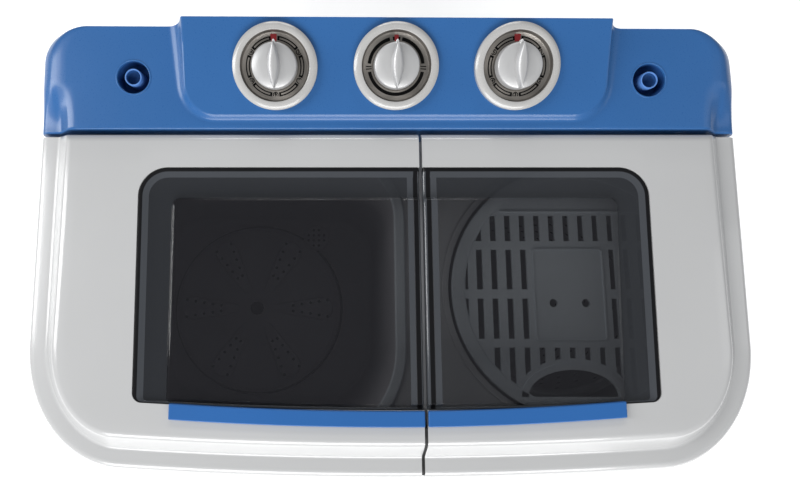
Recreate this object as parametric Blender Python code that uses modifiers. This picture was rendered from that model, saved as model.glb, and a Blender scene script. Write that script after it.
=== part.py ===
"""Twin tub washer: a wash tub and a spin tub under two hinged lids, with a tilted control panel behind.

Metres, +Z up, -Y is the front. The origin is on the floor under the middle of the machine.
Run with: blender --background --python part.py
"""

import math

import bmesh
import bpy
from mathutils import Matrix, Vector

# Plan of the whole machine, at its widest edge
HALF_WIDTH = 0.300
FRONT_Y = -0.1862
REAR_Y = 0.1855
FRONT_BOW = 0.144
CORNER_X = 0.070
CORNER_Y = 0.100
REAR_RADIUS = 0.032

# Levels
FOOT_HEIGHT = 0.018
BASE_TOP = 0.072
CABINET_BOTTOM = 0.030
DECK_BOTTOM = 0.550
DECK_TOP = 0.554
LID_BOTTOM = 0.5555
LID_TOP = 0.590
LEDGE_BACK = 0.577
LEDGE_DROP = 0.026
GAP = 0.0003
SKIN = 0.003

# Lids
LID_GAP_X = 0.026
LID_GAP = 0.0026
LID_REAR_Y = 0.0955
HINGE_Y = 0.0875
HINGE_Z = 0.582
HINGE_PIN_RADIUS = 0.0016
WINDOW_SIDE_X = {-1: 0.2073, 1: 0.2135}
WINDOW_SPREAD = {-1: 0.0034, 1: 0.0030}
WINDOW_FRONT = 0.0530
WINDOW_REAR_Y = 0.0650
WINDOW_REAR_RADIUS = 0.024
PLATEAU_SIDE_X = {-1: 0.1803, 1: 0.1849}
PLATEAU_SPREAD = {-1: 0.0018, 1: 0.0048}
PLATEAU_REAR_Y = 0.0390
GRIP_SIDE_X = {-1: 0.1765, 1: 0.1830}
GRIP_FRONT = 0.0412
GRIP_HEIGHT = 0.0042

# Control panel
PANEL_FRONT_Y = 0.0990
PANEL_CENTRE_X = 0.0045
WING_FRONT_Z = 0.588
WING_SLOPE = 0.185
RAISED_HALF_WIDTH = 0.178
RAISED_FRONT_Y = 0.1087
RAISED_FRONT_Z = 0.5935
RAISED_SLOPE = 0.3516
RAISED_TILT = math.atan(RAISED_SLOPE)
DIAL_PITCH = 0.1003
DIAL_Y = 0.1463
INLETS = {"wash": (-0.2164, 0.1408), "spin": (0.2190, 0.1391)}
INLET_RADIUS = 0.0130

# Wash side
WASH_X = -0.1500
WASH_Y = -0.0431
WASH_FLOOR = 0.287
WASH_MOUTH = (-0.2760, 0.0057, -0.1665, 0.0825)
WASH_FRONT_CORNER = 0.080
WASH_REAR_CORNER = 0.055
TUB_RIM_TOP = 0.5573
TUB_RIM_WIDTH = 0.0095
PULSATOR_RADIUS = 0.1085
DRAIN_X = -0.0741
DRAIN_Y = 0.0524
DRAIN_RADIUS = 0.0110
WASH_MOTOR = (-0.2320, 0.0620)
BELT_BOTTOM = 0.150
BELT_HEIGHT = 0.016
PULLEY_RADIUS = 0.054
MOTOR_PULLEY_RADIUS = 0.018

# Spin side
SPIN_X = 0.1651
SPIN_Y = -0.0361
SPIN_TUB_RADIUS = 0.1122
SPIN_FLOOR = 0.188
BASKET_RADIUS = 0.1000
BASKET_BOTTOM = 0.205
BASKET_TOP = 0.500
COVER_RADIUS = 0.1100
COVER_BOTTOM = 0.5560
COVER_THICKNESS = 0.0030
COVER_HINGE_Y = 0.0850
COVER_HINGE_Z = 0.5605
SLOT_CENTRE_X = -0.0086
SLOT_PITCH = 0.0126
SLOT_WIDTH = 0.0053
SLOT_ROWS = ((0.0428, 0.0659), (0.0005, 0.0354), (-0.0419, -0.0075), (-0.0900, -0.0493))
COVER_PLATE = (-0.0390, 0.0228, -0.0435, 0.0361)
COVER_BAND = 0.0115
COVER_HOLE_XS = (-0.0221, 0.0059)
COVER_HOLE_Y = -0.0114
COVER_HOLE_RADIUS = 0.0036
SCOOP_X = -0.0090
SCOOP_LOW = -0.0905
SCOOP_HALF_WIDTH = 0.0387
SCOOP_HEIGHT = 0.0225
SCOOP_BORDER = 0.0095

# Rear wall fittings, as (x, z)
OUTLET = (-0.120, 0.100)
GLAND = (0.200, 0.110)

ROUND_STEPS = 32
CORNER_STEPS = 6
FRONT_STEPS = 4
# Stations along a lid's back edge: the first is where the stepped rim has become the rolled edge
BACK_STATIONS = (0.086, 0.32, 0.55, 0.78, 1.0)

# Turns a plan outline of (x, y) into one of (y, z), with its thickness along X
SIDEWAYS = Matrix(((0, 0, 1, 0), (1, 0, 0, 0), (0, 1, 0, 0), (0, 0, 0, 1)))
# Turns the Z axis of a round piece towards the rear
FACING_REAR = (-math.pi / 2, 0.0, 0.0)

PARTS = "twin_tub_washer"
CUTTERS = "cutters"


# ---------------------------------------------------------------- scene and materials


def clear_scene():
    for obj in list(bpy.data.objects):
        bpy.data.objects.remove(obj, do_unlink=True)
    for name in (PARTS, CUTTERS):
        collection = bpy.data.collections.new(name)
        bpy.context.scene.collection.children.link(collection)
    bpy.data.collections[CUTTERS].hide_render = True


def finish(name, colour, roughness, metallic=0.0, alpha=1.0):
    material = bpy.data.materials.new(name)
    material.use_nodes = True
    shader = material.node_tree.nodes["Principled BSDF"]
    shader.inputs["Base Color"].default_value = (*colour, 1.0)
    shader.inputs["Roughness"].default_value = roughness
    shader.inputs["Metallic"].default_value = metallic
    shader.inputs["Alpha"].default_value = alpha
    return material


FINISHES = {
    "white": ((0.62, 0.63, 0.64), 0.28),
    "blue": ((0.036, 0.130, 0.390), 0.30),
    "grip_blue": ((0.038, 0.156, 0.468), 0.35),
    "smoke": ((0.030, 0.031, 0.036), 0.12, 0.0, 0.35),
    "inner": ((0.52, 0.53, 0.55), 0.40),
    "cover": ((0.20, 0.21, 0.22), 0.40),
    "knob": ((0.58, 0.58, 0.58), 0.32),
    "dish": ((0.29, 0.28, 0.26), 0.30, 0.6),
    "dark": ((0.030, 0.031, 0.033), 0.55),
    "rubber": ((0.018, 0.018, 0.018), 0.80),
    "steel": ((0.55, 0.55, 0.56), 0.32, 1.0),
    "motor": ((0.30, 0.31, 0.32), 0.45, 1.0),
}


def link(obj, look, collection=PARTS):
    """Put obj in its collection and, if it is a part, give it a material of its own."""
    for other in list(obj.users_collection):
        other.objects.unlink(obj)
    bpy.data.collections[collection].objects.link(obj)
    if look:
        obj.data.materials.clear()
        obj.data.materials.append(finish(obj.name, *FINISHES[look]))
    return obj


def cutter(obj):
    obj.hide_render = True
    obj.display_type = "WIRE"
    return link(obj, None, CUTTERS)


# ---------------------------------------------------------------- shapes


def mesh_object(name, points, faces, look):
    """A closed mesh, with its faces turned to point out."""
    mesh = bpy.data.meshes.new(name)
    mesh.from_pydata(points, [], faces)
    shape = bmesh.new()
    shape.from_mesh(mesh)
    bmesh.ops.remove_doubles(shape, verts=shape.verts, dist=1e-6)
    bmesh.ops.recalc_face_normals(shape, faces=shape.faces)
    shape.to_mesh(mesh)
    shape.free()
    return link(bpy.data.objects.new(name, mesh), look)


def loft(name, rings, look, closed=False):
    """A skin through rings of equally many points, capped at both ends or closed on itself."""
    size = len(rings[0])
    points = [point for ring in rings for point in ring]
    pairs = [(i, i + 1) for i in range(len(rings) - 1)]
    faces = []
    if closed:
        pairs.append((len(rings) - 1, 0))
    else:
        faces.append(tuple(reversed(range(size))))
        faces.append(tuple((len(rings) - 1) * size + i for i in range(size)))
    for low, high in pairs:
        for i in range(size):
            j = (i + 1) % size
            faces.append((low * size + i, low * size + j, high * size + j, high * size + i))
    return mesh_object(name, points, faces, look)


def box(name, centre, size, look, bevel=0.0):
    shape = bmesh.new()
    bmesh.ops.create_cube(shape, size=1.0, matrix=Matrix.Diagonal((*size, 1.0)))
    mesh = bpy.data.meshes.new(name)
    shape.to_mesh(mesh)
    shape.free()
    obj = link(bpy.data.objects.new(name, mesh), look)
    obj.location = centre
    if bevel:
        edges = obj.modifiers.new("rounded_edges", "BEVEL")
        edges.width = bevel
        edges.segments = 2
    return obj


def turned(name, profile, centre, look, closed=False, steps=ROUND_STEPS, rotation=(0.0, 0.0, 0.0)):
    """A Screw profile of (radius, height) points that runs down its outer side."""
    points = [(radius, 0.0, height) for radius, height in profile]
    edges = [(i, i + 1) for i in range(len(points) - 1)]
    if closed:
        edges.append((len(points) - 1, 0))
    mesh = bpy.data.meshes.new(name)
    mesh.from_pydata(points, edges, [])
    obj = link(bpy.data.objects.new(name, mesh), look)
    screw = obj.modifiers.new("turn", "SCREW")
    screw.steps = steps
    screw.render_steps = steps
    screw.use_merge_vertices = True
    screw.merge_threshold = 0.00001
    screw.use_smooth_shade = True
    obj.location = centre
    obj.rotation_euler = rotation
    return obj


def cylinder(name, centre, radius, height, look, rotation=(0.0, 0.0, 0.0), steps=ROUND_STEPS):
    half = height / 2
    profile = [(0.0, half), (radius, half), (radius, -half), (0.0, -half)]
    return turned(name, profile, centre, look, steps=steps, rotation=rotation)


def baked(obj):
    """Replace a curve or a modified object by the mesh that it evaluates to."""
    bpy.context.view_layer.update()
    graph = bpy.context.evaluated_depsgraph_get()
    mesh = bpy.data.meshes.new_from_object(obj.evaluated_get(graph))
    shape = bmesh.new()
    shape.from_mesh(mesh)
    bmesh.ops.remove_doubles(shape, verts=shape.verts, dist=1e-6)
    shape.to_mesh(mesh)
    shape.free()
    name = obj.name
    collection = obj.users_collection[0]
    place = obj.matrix_world.copy()
    bpy.data.objects.remove(obj, do_unlink=True)
    made = bpy.data.objects.new(name, mesh)
    made.matrix_world = place
    collection.objects.link(made)
    return made


def plate(name, outlines, bottom, top, look):
    """A flat piece from plan outlines: the first is its edge, and the others are its holes."""
    curve = bpy.data.curves.new(name, "CURVE")
    curve.dimensions = "2D"
    curve.fill_mode = "BOTH"
    curve.extrude = (top - bottom) / 2
    for outline in outlines:
        spline = curve.splines.new("POLY")
        spline.points.add(len(outline) - 1)
        for point, (x, y) in zip(spline.points, outline):
            point.co = (x, y, 0.0, 1.0)
        spline.use_cyclic_u = True
    obj = link(bpy.data.objects.new(name, curve), look)
    obj.location.z = (bottom + top) / 2
    return baked(obj)


def rod(name, route, radius, look, resolution=2):
    curve = bpy.data.curves.new(name, "CURVE")
    curve.dimensions = "3D"
    curve.bevel_depth = radius
    curve.bevel_resolution = resolution
    curve.use_fill_caps = True
    spline = curve.splines.new("POLY")
    spline.points.add(len(route) - 1)
    for point, place in zip(spline.points, route):
        point.co = (*place, 1.0)
    return link(bpy.data.objects.new(name, curve), look)


def boolean(obj, other, operation="DIFFERENCE"):
    step = obj.modifiers.new(operation.lower(), "BOOLEAN")
    step.operation = operation
    step.solver = "EXACT"
    step.object = cutter(other)
    return obj


def hang(pivot_name, place, children):
    """Parent the pieces of a moving body to an empty on its joint's axis."""
    pivot = bpy.data.objects.new(pivot_name, None)
    pivot.location = place
    pivot.empty_display_size = 0.02
    bpy.data.collections[PARTS].objects.link(pivot)
    bpy.context.view_layer.update()
    for child in children:
        child.parent = pivot
        child.matrix_parent_inverse = pivot.matrix_world.inverted()


# ---------------------------------------------------------------- outlines


def arc(centre_x, centre_y, radius_x, radius_y, start, end, steps=CORNER_STEPS):
    """Points of an elliptical arc, with its angles in degrees."""
    angles = [math.radians(start + (end - start) * i / steps) for i in range(steps + 1)]
    return [(centre_x + radius_x * math.cos(a), centre_y + radius_y * math.sin(a)) for a in angles]


def circle(x, y, radius, steps=ROUND_STEPS):
    return arc(x, y, radius, radius, 0, 360 * (steps - 1) / steps, steps - 1)


def rounded_box(left, right, front, rear, radius, rear_radius=None, steps=CORNER_STEPS):
    """A box's plan with one radius for its front corners and, if it is given, another for its rear ones."""
    rear_radius = rear_radius or radius
    corners = (
        (right, front, -90, radius),
        (right, rear, 0, rear_radius),
        (left, rear, 90, rear_radius),
        (left, front, 180, radius),
    )
    points = []
    for x, y, start, radius in corners:
        centre_x = x - math.copysign(radius, x - (left + right) / 2)
        centre_y = y - math.copysign(radius, y - (front + rear) / 2)
        points += arc(centre_x, centre_y, radius, radius, start, start + 90, steps)
    return points


def front_edge(x):
    """Y of the machine's gently bowed front."""
    return FRONT_Y + FRONT_BOW * x * x


def machine_outline(side, front, rear, rear_radius=REAR_RADIUS):
    """Plan of the whole machine, set in from its widest edge."""
    corner_x = HALF_WIDTH - CORNER_X
    corner_y = front_edge(corner_x) + CORNER_Y
    side_x = HALF_WIDTH - side
    rear_y = REAR_Y - rear
    front_xs = [corner_x * i / FRONT_STEPS for i in range(FRONT_STEPS)]
    right = [(x, front_edge(x) + front) for x in front_xs]
    right += arc(corner_x, corner_y, CORNER_X - side, CORNER_Y - front, -90, 0)
    right += arc(side_x - rear_radius, rear_y - rear_radius, rear_radius, rear_radius, 0, 90)
    left = [(-x, y) for x, y in reversed(right[1:])]
    return right + left


def lid_path(sign, side_x, front, corner, rear_y, rear_radius, gap_inset=0.0, spread=0.0):
    """Open path round one lid: from the gap along the front, the side and the back to the gap.

    Spread is how much further out the side is at the back than at the front.
    """
    gap_x = LID_GAP_X + sign * (LID_GAP / 2 + gap_inset)
    corner_x = sign * (side_x - corner[0])
    front_xs = [gap_x + (corner_x - gap_x) * i / FRONT_STEPS for i in range(FRONT_STEPS)]
    path = [(x, front_edge(x) + front) for x in front_xs]
    bend = arc(side_x - corner[0], front_edge(corner_x) + front + corner[1], corner[0], corner[1], -90, 0)
    back = arc(side_x + spread - rear_radius, rear_y - rear_radius, rear_radius, rear_radius, 0, 90, 4)
    path += [(sign * x, y) for x, y in bend + back]
    back_x = path[-1][0]
    path += [(back_x + (gap_x - back_x) * part, rear_y) for part in BACK_STATIONS]
    return path


def ledge(y):
    """Height of the stepped rim's ledge, which falls a little towards the front."""
    return LEDGE_BACK - LEDGE_DROP * (LID_REAR_Y - y)


def wing_top(y):
    return WING_FRONT_Z + WING_SLOPE * (y - PANEL_FRONT_Y)


def raised_top(y):
    return RAISED_FRONT_Z + RAISED_SLOPE * (y - RAISED_FRONT_Y)


def at(points, height):
    return [(x, y, height) for x, y in points]


# ---------------------------------------------------------------- cabinet


def base_tray():
    outer = machine_outline(0.009, 0.010, 0.012)
    inner = machine_outline(0.012, 0.013, 0.015)
    foot_top = FOOT_HEIGHT + GAP
    rings = [at(inner, foot_top + SKIN), at(inner, BASE_TOP), at(outer, BASE_TOP), at(outer, foot_top)]
    return loft("base_tray", rings, "dark")


def feet():
    profile = [(0.0, FOOT_HEIGHT), (0.015, FOOT_HEIGHT), (0.019, 0.003), (0.017, 0.0), (0.0, 0.0)]
    for name, x, y in (
        ("foot_front_left", -0.235, -0.125),
        ("foot_front_right", 0.235, -0.125),
        ("foot_rear_left", -0.245, 0.140),
        ("foot_rear_right", 0.245, 0.140),
    ):
        turned(name, profile, (x, y, 0.0), "rubber", steps=20)


def cabinet_shell():
    outer = machine_outline(0.0045, 0.0047, 0.006)
    inner = machine_outline(0.0075, 0.0077, 0.009)
    top = DECK_BOTTOM - GAP
    rings = [at(outer, CABINET_BOTTOM), at(outer, top), at(inner, top), at(inner, CABINET_BOTTOM)]
    shell = loft("cabinet_shell", rings, "white", closed=True)
    boolean(shell, box("rear_opening", (0.0, 0.178, 0.330), (0.400, 0.020, 0.300), None))
    for name, (x, z), radius in (("outlet_hole", OUTLET, 0.0155), ("gland_hole", GLAND, 0.0085)):
        boolean(shell, cylinder(name, (x, 0.178, z), radius, 0.02, None, FACING_REAR))
    return shell


def rear_cover():
    box("rear_cover", (0.0, 0.1809, 0.330), (0.424, 0.0020, 0.324), "white", 0.0006)


def wash_outline(inset):
    """Plan of the wash tub's mouth, set in from its wall."""
    left, right, front, rear = WASH_MOUTH
    sides = (left + inset, right - inset, front + inset, rear - inset)
    return rounded_box(*sides, WASH_FRONT_CORNER - inset, WASH_REAR_CORNER - inset)


def tub_deck():
    """The plate that carries both tubs, with two ears for the safety cover's hinge pins."""
    wash_mouth = wash_outline(-0.004)
    spin_mouth = circle(SPIN_X, SPIN_Y, SPIN_TUB_RADIUS + 0.004)
    outline = machine_outline(0.0045, 0.0047, 0.006)
    deck = plate("tub_deck", [outline, wash_mouth, spin_mouth], DECK_BOTTOM, DECK_TOP, "inner")
    for side in (-1, 1):
        centre = (SPIN_X + side * 0.033, COVER_HINGE_Y, DECK_TOP + 0.004)
        boolean(deck, box("cover_ear", centre, (0.005, 0.0070, 0.012), None), "UNION")
    return deck


# ---------------------------------------------------------------- lids


def frame_rings(sign):
    """Lines round a lid frame's closed skin: insets at the side, front and back, then heights."""
    outside = (
        (0.0280, 0.0280, 0.0080, None, LID_TOP),
        (0.0235, 0.0235, 0.0040, -0.0025, 0.5889),
        (0.0160, 0.0160, 0.0015, 0.0, 0.5865),
        (0.0060, 0.0060, 0.0004, 0.0, 0.5840),
        (0.0015, 0.0015, 0.0000, 0.0030, 0.5825),
        (0.0000, 0.0000, 0.0000, 0.0080, 0.5810),
        (0.0000, 0.0000, 0.0000, "bottom", 0.5795),
    )
    inside = (
        (0.0025, 0.0025, 0.0025, "bottom", 0.5795),
        (0.0030, 0.0030, 0.0028, 0.0085, 0.5830),
        (0.0170, 0.0170, 0.0040, 0.0030, 0.5850),
        (0.0285, 0.0285, 0.0085, "under", LID_TOP - SKIN),
    )
    rings = [window_hole(sign, LID_TOP)]
    for side_in, front_in, rear_in, drop, rear_z in outside + inside:
        corner = (CORNER_X - side_in, CORNER_Y - front_in)
        path = lid_path(sign, HALF_WIDTH - side_in, front_in, corner, LID_REAR_Y - rear_in, 0.0012)
        rings.append([(x, y, frame_height(i, y, drop, rear_z)) for i, (x, y) in enumerate(path)])
    rings.append(window_hole(sign, LID_TOP - SKIN))
    return rings


def frame_height(index, y, drop, rear_z):
    """Height on one line of the frame: its own at the front and side, and the rolled edge's at the back."""
    last_side = FRONT_STEPS + CORNER_STEPS + 1
    if index > last_side + 4:
        return rear_z
    if drop is None:
        return LID_TOP
    if drop == "under":
        return LID_TOP - SKIN
    if drop == "bottom":
        return LID_BOTTOM
    if drop < 0:
        return LID_TOP + drop
    return ledge(y) - drop


def window_hole(sign, height):
    corner = (0.008, 0.008)
    shape = (WINDOW_FRONT, corner, WINDOW_REAR_Y, WINDOW_REAR_RADIUS)
    return at(lid_path(sign, WINDOW_SIDE_X[sign], *shape, spread=WINDOW_SPREAD[sign]), height)


def lid_frame(name, sign):
    """A white C-shaped frame, open at the gap between the lids."""
    lines = frame_rings(sign)
    sections = [[line[i] for line in lines] for i in range(len(lines[0]))]
    return loft(name, sections, "white")


def lid_window(name, sign):
    """Smoky pane: a flat border, a shallow chamfer and a raised plateau that runs to the gap."""
    side_x = WINDOW_SIDE_X[sign]
    plateau_x = PLATEAU_SIDE_X[sign]
    wide = WINDOW_SPREAD[sign]
    narrow = PLATEAU_SPREAD[sign]
    radius = WINDOW_REAR_RADIUS
    levels = (
        (0.5845, side_x - 0.0005, 0.0005, WINDOW_REAR_Y - 0.0005, radius + 0.0005, 0.0, wide),
        (0.5893, side_x - 0.0005, 0.0005, WINDOW_REAR_Y - 0.0005, radius + 0.0005, 0.0, wide),
        (0.5878, side_x - 0.0085, 0.0020, WINDOW_REAR_Y - 0.0085, radius - 0.0070, 0.0020, wide),
        (0.5876, plateau_x, 0.0030, PLATEAU_REAR_Y, 0.0060, 0.0030, narrow),
        (0.5910, plateau_x - 0.0015, 0.0045, PLATEAU_REAR_Y - 0.0015, 0.0050, 0.0045, narrow),
    )
    rings = []
    for height, x, front, rear_y, rear_radius, gap_inset, spread in levels:
        shape = (WINDOW_FRONT + front, (0.0085, 0.0085), rear_y, rear_radius, gap_inset, spread)
        rings.append(at(lid_path(sign, x, *shape), height))
    return loft(name, rings, "smoke")


def lid_grip(name, sign):
    gap_x = LID_GAP_X + sign * LID_GAP / 2
    far_x = sign * GRIP_SIDE_X[sign]
    steps = 2 * FRONT_STEPS
    xs = [gap_x + (far_x - gap_x) * i / steps for i in range(steps + 1)]
    outline = [(x, front_edge(x) + GRIP_FRONT) for x in xs]
    outline += [(x, front_edge(x) + WINDOW_FRONT - GAP) for x in reversed(xs)]
    bottom = LID_TOP + GAP
    return plate(name, [outline], bottom, bottom + GRIP_HEIGHT, "grip_blue")


def lid_hinge_pin(name, sign):
    gap_x = LID_GAP_X + sign * (LID_GAP / 2 + 0.001)
    end_x = sign * (HALF_WIDTH - 0.032)
    route = [(gap_x, HINGE_Y, HINGE_Z), (end_x, HINGE_Y, HINGE_Z)]
    return rod(name, route, HINGE_PIN_RADIUS, "steel", 3)


def lid(side_name, sign):
    pieces = [
        lid_frame(side_name + "_lid_frame", sign),
        lid_window(side_name + "_lid_window", sign),
        lid_grip(side_name + "_lid_grip", sign),
        lid_hinge_pin(side_name + "_lid_hinge_pin", sign),
    ]
    middle = (LID_GAP_X + sign * HALF_WIDTH) / 2
    hang(side_name + "_lid_pivot", (middle, HINGE_Y, HINGE_Z), pieces)


def hinge_brackets():
    """Four cranked arms with a hole for a lid's hinge pin, which they reach from in front."""
    for name, x, foot in (
        ("hinge_bracket_wash_outer", -0.2550, TUB_RIM_TOP + GAP),
        ("hinge_bracket_wash_inner", 0.0100, DECK_TOP + GAP),
        ("hinge_bracket_spin_inner", 0.0420, DECK_TOP + GAP),
        ("hinge_bracket_spin_outer", 0.2550, DECK_TOP + GAP),
    ):
        low = foot - HINGE_Z
        arm = [(-0.0125, low), (-0.0065, low), (-0.0065, -0.0036), (0.0015, -0.0036)]
        arm += [(0.0036, -0.0015), (0.0036, 0.0015), (0.0015, 0.0036), (-0.0125, 0.0036)]
        hole = circle(0.0, 0.0, HINGE_PIN_RADIUS + 0.0003, 16)
        bracket = plate(name, [arm, hole], -0.0030, 0.0030, "steel")
        bracket.matrix_world = Matrix.Translation((x, HINGE_Y, HINGE_Z)) @ SIDEWAYS


# ---------------------------------------------------------------- control panel


def panel_outline(side, front, rear):
    """Plan of the panel, with straight front edge and large rear corners."""
    radius = REAR_RADIUS - rear / 2
    side_x = HALF_WIDTH - side
    right = [(0.10 * i, PANEL_FRONT_Y + front) for i in range(3)]
    right += [(side_x, PANEL_FRONT_Y + front)]
    right += arc(side_x - radius, REAR_Y - rear - radius, radius, radius, 0, 90)
    left = [(-x, y) for x, y in reversed(right[1:])]
    return right + left


def raised_outline(grow, front):
    left = PANEL_CENTRE_X - RAISED_HALF_WIDTH - grow
    right = PANEL_CENTRE_X + RAISED_HALF_WIDTH + grow
    return rounded_box(left, right, RAISED_FRONT_Y + front, REAR_Y - 0.0006, 0.026)


def control_panel():
    """A blue cap with low wings and a raised middle that carries the dials. It is hollow below."""
    low = DECK_TOP + GAP
    rings = [at(panel_outline(0.0, 0.0, 0.0), low)]
    rings.append([(x, y, ledge(y) - 0.008) for x, y in panel_outline(0.0, 0.0, 0.0)])
    rings.append([(x, y, ledge(y)) for x, y in panel_outline(0.0060, 0.0, 0.0006)])
    rings.append([(x, y, ledge(y) + 0.001) for x, y in panel_outline(0.0160, 0.0, 0.0012)])
    rings.append([(x, y, wing_top(y) - 0.002) for x, y in panel_outline(0.0240, 0.0, 0.0020)])
    rings.append([(x, y, wing_top(y)) for x, y in panel_outline(0.0280, 0.0010, 0.0045)])
    panel = loft("control_panel", rings, "blue")
    crown = [
        [(x, y, wing_top(y) - 0.004) for x, y in raised_outline(0.0, -0.004)],
        [(x, y, wing_top(y) + 0.001) for x, y in raised_outline(0.0, -0.002)],
        [(x, y, raised_top(y) - 0.002) for x, y in raised_outline(-0.004, 0.0)],
        [(x, y, raised_top(y)) for x, y in raised_outline(-0.006, 0.002)],
    ]
    boolean(panel, loft("raised_section", crown, None), "UNION")
    hollow = rounded_box(-0.268, 0.268, PANEL_FRONT_Y + SKIN, REAR_Y - SKIN - 0.001, 0.02)
    roof = [at(hollow, low - 0.01), [(x, y, wing_top(y) - SKIN) for x, y in hollow]]
    boolean(panel, loft("wing_hollow", roof, None))
    left = PANEL_CENTRE_X - 0.168
    right = PANEL_CENTRE_X + 0.168
    inside = rounded_box(left, right, RAISED_FRONT_Y + 0.006, REAR_Y - 0.006, 0.02)
    crown_roof = [at(inside, low), [(x, y, raised_top(y) - SKIN) for x, y in inside]]
    boolean(panel, loft("raised_hollow", crown_roof, None))
    for x in dial_places():
        shaft = panel_point(x, 0.0)
        boolean(panel, cylinder("dial_hole", shaft, 0.0080, 0.02, None, (RAISED_TILT, 0, 0), 24))
    for x, y in INLETS.values():
        place = (x, y, wing_top(y))
        boolean(panel, cylinder("inlet_hole", place, INLET_RADIUS + GAP, 0.02, None, steps=32))
    return panel


def dial_places():
    return [PANEL_CENTRE_X + i * DIAL_PITCH for i in (-1, 0, 1)]


def panel_point(x, height):
    """The point this far out of the raised panel, along its normal, at a dial's centre."""
    y = DIAL_Y - height * math.sin(RAISED_TILT)
    z = raised_top(DIAL_Y) + height * math.cos(RAISED_TILT)
    return (x, y, z)


def dial_ring(name, x):
    profile = [
        (0.0050, 0.0016),
        (0.0190, 0.0016),
        (0.0282, 0.0046),
        (0.0300, 0.0062),
        (0.0330, 0.0058),
        (0.0345, 0.0040),
        (0.0345, GAP),
        (0.0050, GAP),
    ]
    turned(name, profile, panel_point(x, 0.0), "dish", closed=True, steps=28, rotation=(RAISED_TILT, 0, 0))


def grip_ridge():
    """Lens-shaped plan of the finger ridge, pointed towards the back."""
    half_length = 0.0172
    half_width = 0.0047
    steps = 12
    right = []
    for i in range(steps + 1):
        along = -1 + 2 * i / steps
        right.append((half_width * (1 - along * along) + 0.0004, half_length * along))
    left = [(-x, y) for x, y in reversed(right)]
    return right + left


def knob(name, x):
    profile = [
        (0.0, 0.0135),
        (0.0150, 0.0128),
        (0.0172, 0.0115),
        (0.0185, 0.0090),
        (0.0190, 0.0024),
        (0.0030, 0.0024),
        (0.0030, -0.0030),
        (0.0, -0.0030),
    ]
    cap = turned(name, profile, panel_point(x, 0.0), "knob", steps=24, rotation=(RAISED_TILT, 0, 0))
    ridge = plate(name + "_ridge", [grip_ridge()], 0.0080, 0.0205, None)
    place = Matrix.Translation(Vector(panel_point(x, 0.0))) @ Matrix.Rotation(RAISED_TILT, 4, "X")
    ridge.matrix_world = place @ ridge.matrix_world
    boolean(cap, ridge, "UNION")
    return cap


def timer(name, x, size):
    body = box(name, panel_point(x, -0.0034 - size[2] / 2), size, "dark", 0.001)
    body.rotation_euler = (RAISED_TILT, 0, 0)


def inlet(name, x, y):
    """A ring and a central spout with a through bore."""
    profile = [
        (0.0060, 0.0000),
        (0.0077, 0.0000),
        (0.0077, -0.0080),
        (0.0118, -0.0080),
        (0.0118, -0.0004),
        (INLET_RADIUS, -0.0004),
        (INLET_RADIUS, -0.0105),
        (0.0060, -0.0105),
    ]
    turned(name, profile, (x, y, wing_top(y) - 0.0004), "blue", closed=True, steps=24)


def controls():
    names = ("wash", "selector", "spin")
    knobs = ("wash_timer_knob", "selector_knob", "spin_timer_knob")
    bodies = ("wash_timer", "drain_selector_switch", "spin_timer")
    for name, knob_name, body, x in zip(names, knobs, bodies, dial_places()):
        dial_ring("dial_ring_" + name, x)
        knob(knob_name, x)
        timer(body, x, (0.040, 0.036, 0.022))
    for name, (x, y) in INLETS.items():
        inlet("inlet_spigot_" + name, x, y)
    box("lid_switch", (0.0550, 0.1150, 0.5610), (0.026, 0.012, 0.012), "dark", 0.001)


# ---------------------------------------------------------------- wash side


def wash_tub():
    """An open tub with a rim that rests on the deck, and holes for the shaft and the drain."""
    draft = 0.005
    section = (
        (draft + 0.006, WASH_FLOOR),
        (draft + 0.002, WASH_FLOOR + 0.003),
        (draft, WASH_FLOOR + 0.010),
        (0.0, TUB_RIM_TOP),
        (-TUB_RIM_WIDTH, TUB_RIM_TOP),
        (-TUB_RIM_WIDTH, DECK_TOP + GAP),
        (-SKIN, DECK_TOP + GAP),
        (draft - SKIN, WASH_FLOOR + 0.010),
        (draft + 0.004, WASH_FLOOR - SKIN),
    )
    rings = [at(wash_outline(inset), height) for inset, height in section]
    tub = loft("wash_tub", rings, "inner")
    boolean(tub, cylinder("shaft_hole", (WASH_X, WASH_Y, WASH_FLOOR), 0.0080, 0.03, None, steps=24))
    boolean(tub, cylinder("drain_hole", (DRAIN_X, DRAIN_Y, WASH_FLOOR), DRAIN_RADIUS, 0.03, None, steps=24))
    return tub


def drain_grille():
    """A shallow perforated cap over the drain."""
    edge = circle(0.0, 0.0, DRAIN_RADIUS + 0.0015, 28)
    holes = [circle(0.0, 0.0, 0.0011, 6)]
    for count, radius in ((5, 0.0045), (9, 0.0095)):
        for i in range(count):
            angle = 2 * math.pi * i / count
            holes.append(circle(radius * math.cos(angle), radius * math.sin(angle), 0.0011, 6))
    grille = plate("drain_grille", [edge] + holes, WASH_FLOOR + GAP, WASH_FLOOR + 0.0030, "inner")
    grille.location.x = DRAIN_X
    grille.location.y = DRAIN_Y


def pulsator_petal(angle):
    """One raised blade, wide at the rim and narrow at the hub."""
    inner, outer, narrow, wide = 0.016, 0.100, 0.005, 0.015
    outline = [(inner, -narrow), (outer * 0.86, -wide), (outer, -wide * 0.5), (outer, wide * 0.5)]
    outline += [(outer * 0.86, wide), (inner, narrow)]
    blade = plate("petal", [outline], WASH_FLOOR + 0.006, WASH_FLOOR + 0.0185, None)
    place = Matrix.Translation((WASH_X, WASH_Y, 0.0)) @ Matrix.Rotation(angle, 4, "Z")
    blade.matrix_world = place @ blade.matrix_world
    return blade


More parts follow.
